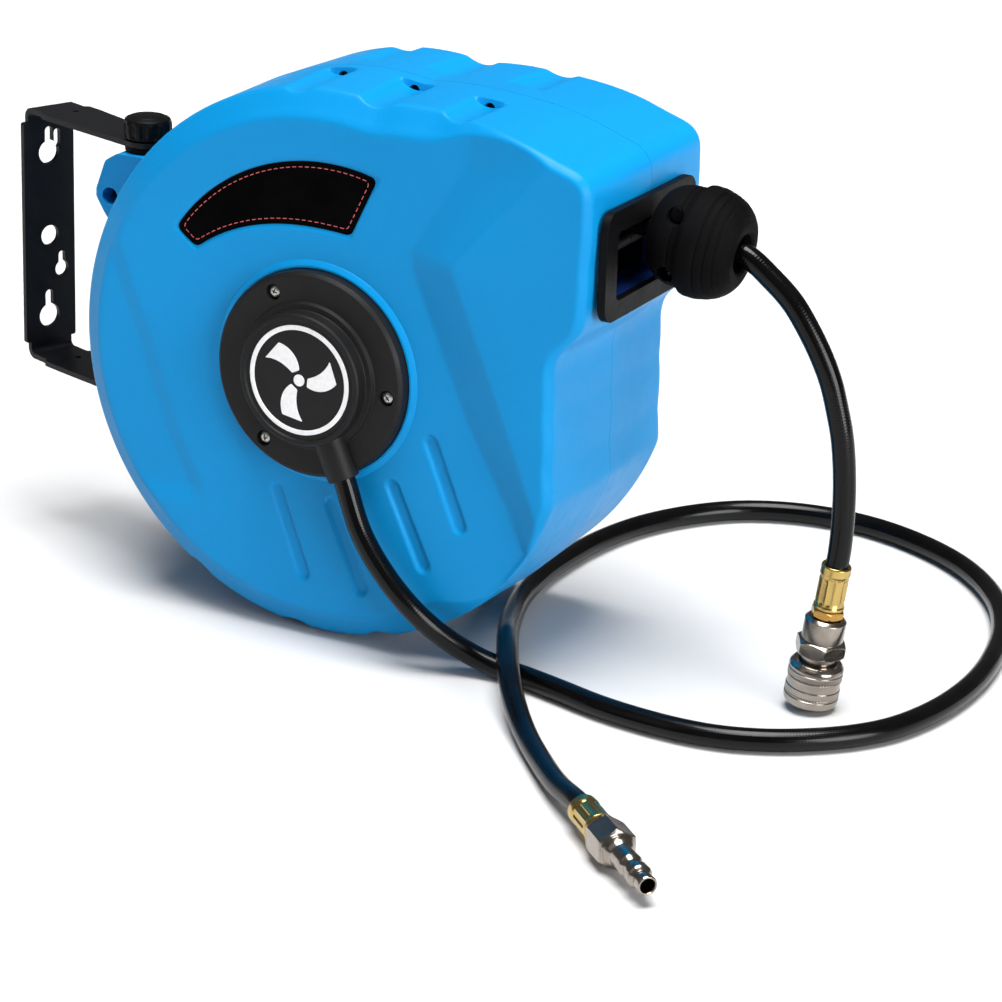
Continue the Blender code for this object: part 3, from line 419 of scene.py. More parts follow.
# --------------------------------------------------------------------- materials
class Mat:
    """Small helper around one Principled material and its noise-driven detail."""

    def __init__(self, name, rough=0.5, metal=0.0, coat=0.0, coat_rough=0.1, spec=0.5):
        self.m = bpy.data.materials.new(name)
        self.m.use_nodes = True
        self.nt = self.m.node_tree
        self.b = self.nt.nodes["Principled BSDF"]
        self.b.inputs["Roughness"].default_value = rough
        self.b.inputs["Metallic"].default_value = metal
        self.b.inputs["Coat Weight"].default_value = coat
        self.b.inputs["Coat Roughness"].default_value = coat_rough
        self.b.inputs["Specular IOR Level"].default_value = spec
        self.tc = self.nt.nodes.new("ShaderNodeTexCoord")
        self.normal = None

    def new(self, kind, **inputs):
        n = self.nt.nodes.new(kind)
        for k, v in inputs.items():
            k = k.replace("_", " ")
            if isinstance(v, bpy.types.NodeSocket):
                self.nt.links.new(v, n.inputs[k])
            else:
                n.inputs[k].default_value = v
        return n

    def obj(self, scale=None):
        if scale is None:
            return self.tc.outputs["Object"]
        mp = self.new("ShaderNodeMapping", Vector=self.tc.outputs["Object"])
        mp.inputs["Scale"].default_value = scale
        return mp.outputs["Vector"]

    def noise(self, scale, detail=3.0, rough=0.5, vec=None, dist=0.0):
        n = self.new("ShaderNodeTexNoise", Scale=scale, Detail=detail, Roughness=rough,
                     Distortion=dist, Vector=vec or self.tc.outputs["Object"])
        return n.outputs["Fac"]

    def voronoi(self, scale, vec=None, feature="F1"):
        n = self.new("ShaderNodeTexVoronoi", Scale=scale, Vector=vec or self.tc.outputs["Object"])
        n.feature = feature
        return n.outputs["Distance"]

    def remap(self, v, a, b, c, d):
        n = self.new("ShaderNodeMapRange")
        self.nt.links.new(v, n.inputs["Value"])
        for k, x in (("From Min", a), ("From Max", b), ("To Min", c), ("To Max", d)):
            n.inputs[k].default_value = x
        return n.outputs["Result"]

    def mix(self, fac, a, b):
        n = self.nt.nodes.new("ShaderNodeMix")
        n.data_type = "RGBA"
        n.clamp_factor = True
        if isinstance(fac, bpy.types.NodeSocket):
            self.nt.links.new(fac, n.inputs[0])
        else:
            n.inputs[0].default_value = fac
        for i, c in ((6, a), (7, b)):
            if isinstance(c, bpy.types.NodeSocket):
                self.nt.links.new(c, n.inputs[i])
            else:
                n.inputs[i].default_value = (*c, 1)
        return n.outputs[2]

    def math(self, op, a, b=0.0, c=0.0):
        n = self.nt.nodes.new("ShaderNodeMath")
        n.operation = op
        for i, v in enumerate((a, b, c)):
            if isinstance(v, bpy.types.NodeSocket):
                self.nt.links.new(v, n.inputs[i])
            else:
                n.inputs[i].default_value = v
        return n.outputs[0]

    def attr(self, name):
        n = self.nt.nodes.new("ShaderNodeAttribute")
        n.attribute_name = name
        return n.outputs["Fac"]

    def set(self, socket, v):
        self.nt.links.new(v, self.b.inputs[socket])
        return self

    def bump(self, h, dist, strength=1.0):
        """dist is the height in metres of a change of one in h."""
        n = self.new("ShaderNodeBump", Height=h, Distance=dist, Strength=strength)
        if self.normal is not None:
            self.nt.links.new(self.normal, n.inputs["Normal"])
        self.normal = n.outputs["Normal"]
        self.nt.links.new(self.normal, self.b.inputs["Normal"])
        return self


def srgb(r, g, b):
    def f(c):
        c /= 255.0
        return c / 12.92 if c <= 0.04045 else ((c + 0.055) / 1.055) ** 2.4
    return f(r), f(g), f(b)


def scaled(c, k):
    return tuple(min(1.0, x * k) for x in c)


def plastic(name, colour, rough=(0.38, 0.52), grain=1500.0, depth=2.2e-5, wear=0.08, spec=0.22):
    """Moulded plastic with a spark-eroded grain, faint flow marks and scuffs."""
    q = Mat(name, spec=spec)
    fine = q.noise(grain, 2.0, 0.55)
    mid = q.noise(95.0, 4.0, 0.6)
    flow = q.noise(9.0, 3.0, 0.5, vec=q.obj((1.0, 0.35, 1.0)))
    c = q.mix(q.remap(flow, 0.3, 0.7, 0.0, 1.0), scaled(colour, 1 - wear), scaled(colour, 1 + wear))
    c = q.mix(q.remap(fine, 0.35, 0.75, 0.0, 0.30), c, scaled(colour, 1.35))
    scuff = q.noise(340.0, 5.0, 0.75, vec=q.obj((1.0, 0.18, 0.6)))
    c = q.mix(q.remap(scuff, 0.68, 0.82, 0.0, 0.06), c, scaled(colour, 1.8))
    q.set("Base Color", c)
    q.set("Roughness", q.remap(mid, 0.25, 0.75, rough[0], rough[1]))
    q.bump(fine, depth)
    q.bump(q.noise(38.0, 2.0, 0.5), 6e-5, 0.5)
    return q.m


def rubber_mat(name, colour=(0.014, 0.014, 0.015), rough=(0.62, 0.78)):
    q = Mat(name, spec=0.045)
    fine = q.noise(2100.0, 3.0, 0.6)
    bloom = q.noise(46.0, 4.0, 0.65)
    q.set("Base Color", q.mix(q.remap(bloom, 0.4, 0.75, 0.0, 1.0), colour,
                              tuple(x * 1.7 + 0.0004 for x in colour)))
    q.set("Roughness", q.remap(bloom, 0.3, 0.7, rough[0], rough[1]))
    q.bump(fine, 2.6e-5)
    q.bump(q.noise(260.0, 3.0, 0.6), 4e-5, 0.7)
    return q.m


def powder_mat(name, colour=(0.0040, 0.0042, 0.0052), rough=(0.32, 0.44)):
    """Powder coat: orange peel with a satin gloss."""
    q = Mat(name, spec=0.12, coat=0.05, coat_rough=0.25)
    peel = q.noise(1300.0, 2.0, 0.5)
    dust = q.noise(80.0, 5.0, 0.7)
    c = q.mix(q.remap(dust, 0.35, 0.7, 0.0, 1.0), colour, tuple(x * 1.7 for x in colour))
    nick = q.noise(900.0, 2.0, 0.5)
    c = q.mix(q.remap(nick, 0.74, 0.78, 0.0, 0.25), c, (0.2, 0.2, 0.2))
    q.set("Base Color", c)
    q.set("Roughness", q.remap(dust, 0.3, 0.7, rough[0], rough[1]))
    q.bump(peel, 1.6e-5, 0.7)
    return q.m


def metal_mat(name, colour, tint, rough=(0.18, 0.34), lathe=None, tarnish=0.5, spot=0.45):
    """Plated or bare metal; lathe gives turning marks along the stored axis height."""
    q = Mat(name, metal=1.0)
    cloud = q.noise(120.0, 5.0, 0.65)
    spots = q.noise(520.0, 4.0, 0.6)
    c = q.mix(q.remap(cloud, 0.3, 0.72, 0.0, tarnish), colour, tint)
    c = q.mix(q.remap(spots, 0.62, 0.72, 0.0, spot), c, scaled(tint, 0.55))
    q.set("Base Color", c)
    fine = q.noise(1400.0, 3.0, 0.6)
    q.set("Roughness", q.remap(cloud, 0.25, 0.75, rough[0], rough[1]))
    if lathe:
        ring = q.new("ShaderNodeTexNoise", Scale=1.0, Detail=3.0, Roughness=0.6)
        comb = q.nt.nodes.new("ShaderNodeCombineXYZ")
        q.nt.links.new(q.math("MULTIPLY", q.attr("ax"), lathe), comb.inputs[0])
        q.nt.links.new(q.math("MULTIPLY", q.attr("rr"), lathe), comb.inputs[1])
        q.nt.links.new(comb.outputs[0], ring.inputs["Vector"])
        q.bump(ring.outputs["Fac"], 2.2e-5, 0.6)
    q.bump(fine, 7e-6, 0.6)
    return q.m


BLUE = (0.0016, 0.212, 0.500)
M_BLUE = plastic("case_blue", BLUE, (0.33, 0.46), 1700.0, 1.9e-5, 0.05, 0.13)
M_BLUE_REAR = plastic("case_blue_rear", BLUE, (0.34, 0.47), 1700.0, 1.9e-5, 0.05, 0.13)
M_COVER = plastic("cover_black", (0.0075, 0.0075, 0.0078), (0.42, 0.55), 1150.0, 3.4e-5, 0.12, 0.16)
M_BLACK = plastic("black_plastic", (0.0024, 0.0024, 0.0028), (0.40, 0.55), 1500.0, 2.4e-5, 0.12,
                  0.08)
M_KNOB = plastic("knob_black", (0.0030, 0.0032, 0.0030), (0.34, 0.48), 1300.0, 2.4e-5, 0.12, 0.09)
M_DRUM = plastic("drum_plastic", (0.03, 0.03, 0.034), (0.45, 0.6), 1200.0, 2.4e-5, 0.1)
M_RUBBER = rubber_mat("stop_rubber", (0.0018, 0.0018, 0.0021))
M_SEAL = rubber_mat("seal_rubber", (0.01, 0.01, 0.011), (0.5, 0.62))
M_STEELBLK = powder_mat("bracket_coat")
M_BRASS = metal_mat("brass", (0.55, 0.395, 0.135), (0.44, 0.29, 0.085), (0.16, 0.28), 2.6, 0.45, 0.1)
M_BRASS_O = metal_mat("brass_nut", (0.54, 0.31, 0.085), (0.42, 0.215, 0.06), (0.2, 0.34), 2.6, 0.45, 0.12)
M_NICKEL = metal_mat("nickel", (0.37, 0.33, 0.29), (0.24, 0.205, 0.17), (0.12, 0.26), 2.2, 0.6)
M_ZINC = metal_mat("zinc_steel", (0.50, 0.49, 0.47), (0.34, 0.32, 0.29), (0.26, 0.42), 2.2, 0.6)
M_SPRING = metal_mat("spring_steel", (0.24, 0.245, 0.26), (0.16, 0.15, 0.15), (0.28, 0.45), None, 0.6)
M_DARKZINC = metal_mat("dark_screw", (0.05, 0.05, 0.053), (0.026, 0.025, 0.024), (0.3, 0.48), 2.2, 0.6)


def label_mat():
    q = Mat("label_gloss", rough=0.16, spec=0.012)
    a = q.noise(60.0, 4.0, 0.6)
    q.set("Base Color", q.mix(q.remap(a, 0.35, 0.7, 0.0, 1.0), (0.0006, 0.0006, 0.0008),
                              (0.0014, 0.0014, 0.0017)))
    q.set("Roughness", q.remap(q.noise(300.0, 3.0, 0.6), 0.3, 0.7, 0.12, 0.22))
    q.bump(q.noise(70.0, 2.0, 0.5), 4e-5, 0.5)
    return q.m


def print_mat(name, a, b, rough=0.4):
    q = Mat(name, rough=rough)
    n = q.noise(420.0, 4.0, 0.7)
    q.set("Base Color", q.mix(q.remap(n, 0.3, 0.75, 0.0, 1.0), a, b))
    q.set("Roughness", q.remap(n, 0.3, 0.7, rough - 0.06, rough + 0.08))
    q.bump(q.noise(1500.0, 2.0, 0.5), 1e-5, 0.5)
    return q.m


M_LABEL = label_mat()
M_PRINT = print_mat("white_print", (0.62, 0.63, 0.64), (0.78, 0.79, 0.80))
M_BADGE = print_mat("badge_white", (0.66, 0.66, 0.67), (0.80, 0.80, 0.81), 0.45)
M_RED = print_mat("red_print", (0.46, 0.06, 0.075), (0.58, 0.10, 0.11), 0.4)
# painted shade: the case blue darkened to stand for the shade inside the outlet throat
M_THROAT_SHADE = plastic("mouth_blue", (0.003, 0.022, 0.13), (0.4, 0.55), 1500.0, 2e-5, 0.05)
M_ROLLER = plastic("roller_black", (0.0040, 0.0042, 0.0050), (0.4, 0.55), 1300.0, 2e-5, 0.1, 0.08)


def hose_mat():
    """Glossy PVC over a fine braid; u runs along the hose and v round it, in hose diameters."""
    q = Mat("hose_black", coat=0.16, coat_rough=0.06, spec=0.12)
    uv = q.nt.nodes.new("ShaderNodeUVMap")
    uv.uv_map = "UVMap"
    sep = q.nt.nodes.new("ShaderNodeSeparateXYZ")
    q.nt.links.new(uv.outputs["UV"], sep.inputs[0])
    u, v = sep.outputs[0], sep.outputs[1]
    s1 = q.math("SINE", q.math("MULTIPLY", q.math("ADD", u, v), 2 * math.pi * 12))
    s2 = q.math("SINE", q.math("MULTIPLY", q.math("SUBTRACT", u, v), 2 * math.pi * 12))
    braid = q.math("MULTIPLY", s1, s2)
    wave = q.noise(60.0, 3.0, 0.5)
    scuff = q.noise(700.0, 4.0, 0.7)
    c = q.mix(q.remap(wave, 0.35, 0.7, 0.0, 1.0), (0.0010, 0.0010, 0.0012), (0.0022, 0.0022, 0.0025))
    c = q.mix(q.remap(scuff, 0.66, 0.8, 0.0, 0.08), c, (0.03, 0.03, 0.03))
    q.set("Base Color", c)
    q.set("Roughness", q.remap(scuff, 0.3, 0.75, 0.13, 0.26))
    q.bump(braid, 3.6e-5, 1.0)
    q.bump(wave, 1.6e-4, 0.45)
    return q.m


M_HOSE = hose_mat()


# ------------------------------------------------------------------------ cords
def tube(name, keys, n, r, mat, body, slot, nodes, seg=48, wob=0.0):
    pts, length = catmull(keys, n)
    P = np.array([list(p) for p in pts])
    T = np.gradient(P, axis=0)
    T /= np.linalg.norm(T, axis=1)[:, None]
    nrm = np.zeros_like(P)
    ref = np.array([0, 1.0, 0])
    nrm[0] = ref - T[0] * (ref @ T[0])
    nrm[0] /= np.linalg.norm(nrm[0])
    for i in range(1, n):
        q = nrm[i - 1] - T[i] * (nrm[i - 1] @ T[i])
        nrm[i] = q / np.linalg.norm(q)
    bi = np.cross(T, nrm)
    s = length * np.arange(n) / (n - 1)
    a = 2 * math.pi * np.arange(seg) / seg
    verts = (P[:, None] + r * (np.cos(a)[None, :, None] * nrm[:, None]
                               + np.sin(a)[None, :, None] * bi[:, None])).reshape(-1, 3)
    bm = bmesh.new()
    vs = [bm.verts.new(v) for v in xf(CASE, verts)]
    uvl = bm.loops.layers.uv.new("UVMap")
    per = 2 * math.pi * r
    for i in range(n - 1):
        for j in range(seg):
            k = (j + 1) % seg
            f = bm.faces.new((vs[i * seg + j], vs[i * seg + k], vs[(i + 1) * seg + k],
                              vs[(i + 1) * seg + j]))
            for lp, (si, sj) in zip(f.loops, ((i, j), (i, j + 1), (i + 1, j + 1), (i + 1, j))):
                lp[uvl].uv = (s[si] / per, sj / seg)
            f.smooth = True
    bm.faces.new(vs[:seg][::-1])
    bm.faces.new(vs[-seg:])
    bmesh.ops.recalc_face_normals(bm, faces=bm.faces)
    me = bpy.data.meshes.new(name)
    bm.to_mesh(me)
    bm.free()
    me.materials.append(mat)
    ob = link(bpy.data.objects.new(name, me))
    place(ob, body, slot, *nodes)
    route = [tuple(CASE @ Vector(p)) for p in catmull(keys, 40)[0]]
    return ob, length * MM, route


lead, lead_len, lead_route = tube("lead_hose_skin", LEAD_KEYS, 150, HOSE_R, M_HOSE, "hose",
                                  "hose_black", ["lead_hose"])
inlet, inlet_len, inlet_route = tube("inlet_hose_skin", INLET_KEYS, 620, HOSE_R, M_HOSE, "case",
                                     "hose_black", ["inlet_hose"], 40)


# ------------------------------------------------------------------ case halves
def smoothstep(a, b, x):
    t = np.clip((x - a) / (b - a), 0, 1)
    return t * t * (3 - 2 * t)


def case_outline():
    left = arc(0, 0, CASE_R, 78, 341.4, 900)
    right = [(142.0, -30), (141.5, 0), (141.2, 24), (143.0, 33.0), (150.5, 40.5),
             (156.0, 46.0), (157.3, 52), (158.4, 82), (159.3, 112)]
    rad = [26, 30, 14, 7, 8, 6, 8, 60, 12]
    nose = arc(143.6, 117.0, 16.0, 5, 60, 30)
    top = [(138, 135.4), (124, 140.6), (108, 144.6), (90, 147.2), (68, 149.0), (48, 149.6)]
    pts = left + right + nose + top
    radii = [0] * len(left) + rad + [0] * len(nose) + [16, 40, 40, 60, 60, 40]
    return np.array(rounded(pts, radii, 6, True))


N_TH = 720
OUT = case_outline()
_th = np.unwrap(np.arctan2(OUT[:, 1], OUT[:, 0]))
_rr = np.hypot(OUT[:, 0], OUT[:, 1])
_o = np.argsort(_th)
_th, _rr = _th[_o], _rr[_o]
TH = _th[0] + 2 * math.pi * (np.arange(N_TH) + 0.5) / N_TH
RAD = np.interp(TH, np.concatenate([_th - 2 * math.pi, _th, _th + 2 * math.pi]),
                np.concatenate([_rr, _rr, _rr]))
for _ in range(6):
    RAD = (np.roll(RAD, 1) + 2 * RAD + np.roll(RAD, -1)) / 4
RIM = np.stack([RAD * np.cos(TH), RAD * np.sin(TH)], 1)
TAN2 = np.roll(RIM, -1, 0) - np.roll(RIM, 1, 0)
TAN2 /= np.linalg.norm(TAN2, axis=1)[:, None]
for _ in range(3):
    TAN2 = (np.roll(TAN2, 1, 0) + 2 * TAN2 + np.roll(TAN2, -1, 0)) / 4
    TAN2 /= np.linalg.norm(TAN2, axis=1)[:, None]
NIN = np.stack([-TAN2[:, 1], TAN2[:, 0]], 1)
DEG = np.degrees(np.arctan2(RIM[:, 1], RIM[:, 0]))
# share of the outlet side in the rim's shape, 1 where the raised field reaches the rim
W_RIGHT = np.where(DEG > 0, np.where(DEG < 60, 1.0, 0.0), 0.0)
W_RIGHT = np.where((DEG >= 20) & (DEG <= 80), smoothstep(58.0, 128.0, RIM[:, 0]), W_RIGHT)
W_RIGHT = np.where((DEG > -62) & (DEG <= 20), smoothstep(-61.0, -36.0, DEG), W_RIGHT)

# the label's outline: radius against angle, outer edge and inner edge
LAB_A1 = 143.2
LAB_OUT = np.polyfit([72.6, 79, 88, 100, 115, 130, 143.6],
                     [113.8, 113.8, 113.2, 112.4, 111.0, 110.3, 109.0], 2)
LAB_IN = np.polyfit([76.5, 92, 107, 121, 133, 142.6], [78.8, 78.2, 80.0, 84.2, 89.3, 93.0], 3)
CREASE = np.array([(-131, 65), (-121.6, 49.8), (-113.4, 26), (-104, 5.1), (-94.5, -21.5),
                   (-84.9, -48.3), (-68.9, -79.7)], float)
GROOVES = [((-24, -71), (-7, -115)), ((10, -73), (29, -117)), ((47, -56), (66, -96)),
           ((69, -27), (87, -70))]
BAND_L = np.array([(88, 152), (86, 124), (55.5, 75), (56.2, 66), (59.5, 57), (90, -11), (115, -55),
                   (124, -75), (132, -90)], float)
BAND_R = np.array([(139, 140), (136, 133), (82, 72), (81.6, 69), (84, 64), (114, -5), (133.5, -54),
                   (137, -62)], float)
G = 0.5
GX = np.arange(-166, 168, G)
GZ = np.arange(-160, 162, G)


def blur(a, sigma):
    k = int(3 * sigma / G + 1)
    w = np.exp(-0.5 * (np.arange(-k, k + 1) * G / sigma) ** 2)
    w /= w.sum()
    for ax in (0, 1):
        pad = [(0, 0), (0, 0)]
        pad[ax] = (k, k)
        b = np.pad(a, pad, mode="edge")
        a = sum(w[i] * np.take(b, range(i, i + a.shape[ax]), axis=ax) for i in range(2 * k + 1))
    return a


def sector_depth(X, Z, r0, r1, a0, a1, corner):
    """Signed distance (inside negative) to an arc-shaped field with round corners."""
    r = np.hypot(X, Z)
    ang = np.degrees(np.arctan2(Z, X))
    rm, am = (r0 + r1) / 2, (a0 + a1) / 2
    u = np.radians(ang - am) * rm
    v = r - rm
    hu, hv = math.radians(a1 - a0) / 2 * rm, (r1 - r0) / 2
    qu, qv = np.abs(u) - hu + corner, np.abs(v) - hv + corner
    return np.hypot(np.maximum(qu, 0), np.maximum(qv, 0)) + np.minimum(np.maximum(qu, qv), 0) - corner


def label_a0(r):
    """The label's right end leans: its angle at each radius."""
    return 76.2 + (r - 78.6) / (113.6 - 78.6) * (72.6 - 76.2)


def label_depth(X, Z):
    """Signed distance (inside negative) to the label's outline, corners left square."""
    r = np.hypot(X, Z)
    a = np.degrees(np.arctan2(Z, X))
    ac = np.clip(a, 72.6, LAB_A1)
    side = np.radians(np.maximum(a - LAB_A1, label_a0(np.clip(r, 60, 130)) - a)) * np.maximum(r, 40)
    return np.maximum(np.maximum(r - np.polyval(LAB_OUT, ac), np.polyval(LAB_IN, ac) - r), side)


def label_outline(inset, corners, n=60):
    pts, rad = [], []
    for fit, sgn in ((LAB_OUT, -1), (LAB_IN, 1)):
        lo = label_a0(float(np.polyval(fit, 74.0))) + math.degrees(inset / 95.0)
        hi = LAB_A1 - math.degrees(inset / 95.0)
        row = []
        for t in np.linspace(lo, hi, n):
            r = np.polyval(fit, t) + sgn * inset
            row.append((r * math.cos(math.radians(t)), r * math.sin(math.radians(t))))
        # leave room beside the ends for the round corners
        k = int(corners / 1.2) + 1
        row = [row[0]] + row[k:-k] + [row[-1]]
        pts += row if sgn < 0 else row[::-1]
        ends = [corners, corners * 1.35] if sgn < 0 else [corners * 1.35, corners]
        rad += [ends[0]] + [0] * (len(row) - 2) + [ends[1]]
    return pts, rad


def capsule(X, Z, p, q):
    ux, uz = q[0] - p[0], q[1] - p[1]
    t = np.clip(((X - p[0]) * ux + (Z - p[1]) * uz) / (ux * ux + uz * uz), 0, 1)
    return np.hypot(X - p[0] - t * ux, Z - p[1] - t * uz)


def front_field():
    X, Z = np.meshgrid(GX, GZ, indexing="ij")
    xl = np.interp(-Z, -BAND_L[:, 1], BAND_L[:, 0])
    xr = np.interp(-Z, -BAND_R[:, 1], BAND_R[:, 0])
    t = np.clip((X - xl) / np.maximum(xr - xl, 3.0), 0, 1)
    y = Y_FACE - 6.6 * t
    y = blur(y, 0.4)
    d = label_depth(X, Z) - 1.1
    y = y + 0.75 * (1 - smoothstep(-0.5, 0.5, d))
    xc = np.interp(-Z, -CREASE[::-1, 1][::-1], CREASE[::-1, 0][::-1])
    left = np.clip((xc - X) * 0.93 / 9.0, 0, 1)
    y = y + 1.5 * left * (1 - smoothstep(62.0, 74.0, Z)) * smoothstep(-92.0, -78.0, Z)
    for p, q in GROOVES:
        c = capsule(X, Z, p, q)
        y = y + 2.0 * (1 - smoothstep(3.1, 4.2, c))
    return blur(y, 0.3)


def rear_field():
    """Measured forward from the back plane, so that both halves share one builder."""
    X, Z = np.meshgrid(GX, GZ, indexing="ij")
    r = np.hypot(X, Z)
    a = np.arctan2(Z, X)
    dep = 2.6 * smoothstep(40.0, 43.0, r) * (1 - smoothstep(119.0, 122.5, r))
    for k in range(8):
        ang = math.radians(22.5 + 45 * k)
        across = np.abs(-X * math.sin(ang) + Z * math.cos(ang))
        along = X * math.cos(ang) + Z * math.sin(ang)
        rib = (1 - smoothstep(1.6, 3.0, across)) * (along > 0)
        dep = dep * (1 - 0.85 * rib)
    dep = dep * (1 - 0.7 * (1 - smoothstep(1.2, 2.4, np.abs(r - 82.0))))
    dep = dep + 1.6 * (1 - smoothstep(23.0, 24.5, r)) - 1.2 * (1 - smoothstep(15.0, 16.2, r))
    dep = dep + 1.0 * (1 - smoothstep(7.0, 8.2, r))
    _ = a
    return blur(dep, 0.6)


def sample(field, P):
    fx = np.clip((P[:, 0] - GX[0]) / G, 0, len(GX) - 1.001)
    fz = np.clip((P[:, 1] - GZ[0]) / G, 0, len(GZ) - 1.001)
    i, j = fx.astype(int), fz.astype(int)
    u, v = fx - i, fz - j
    return (field[i, j] * (1 - u) * (1 - v) + field[i + 1, j] * u * (1 - v)
            + field[i, j + 1] * (1 - u) * v + field[i + 1, j + 1] * u * v)


def polar(deg, r):
    return np.array([r * math.cos(math.radians(deg)), r * math.sin(math.radians(deg))])


# screw channels: point on the outline, its normal, the depth at which the channel ends
SPOTS = [(polar(a, CASE_R), polar(a, 1.0), y) for a, y in ((96.9, 64.0), (79.8, 62.0))]
SPOTS += [(np.array([76.0, 148.35]), np.array([0.0815, 0.9967]), 52.0)]
SPOTS += [(polar(a, CASE_R), polar(a, 1.0), 56.0) for a in (-121.0, -96.0, -76.0)]


def scallops(P, y, front):
    """Press the screw channels into the side."""
    P = P.copy()
    for S, n, y_end in SPOTS:
        t = np.array([-n[1], n[0]])
        c = (P - S) @ n
        s = (P - S) @ t
        rad = 15.0
        floor = (rad - 4.4) - np.sqrt(np.maximum(rad ** 2 - s ** 2, 1e-6))
        floor = np.where(np.abs(s) < rad, floor, 50.0)
        k = 1.1
        h = np.clip(0.5 + 0.5 * (floor - c) / k, 0, 1)
        m = floor * (1 - h) + c * h - k * h * (1 - h)
        gate = 1 - smoothstep(y_end - 0.6, y_end + 0.4, y) if front else smoothstep(89.6, 90.6, y)
        near = (np.abs(s) < 14) & (c > -9)
        P += np.where(near, (m - c) * gate, 0.0)[:, None] * n
    return P


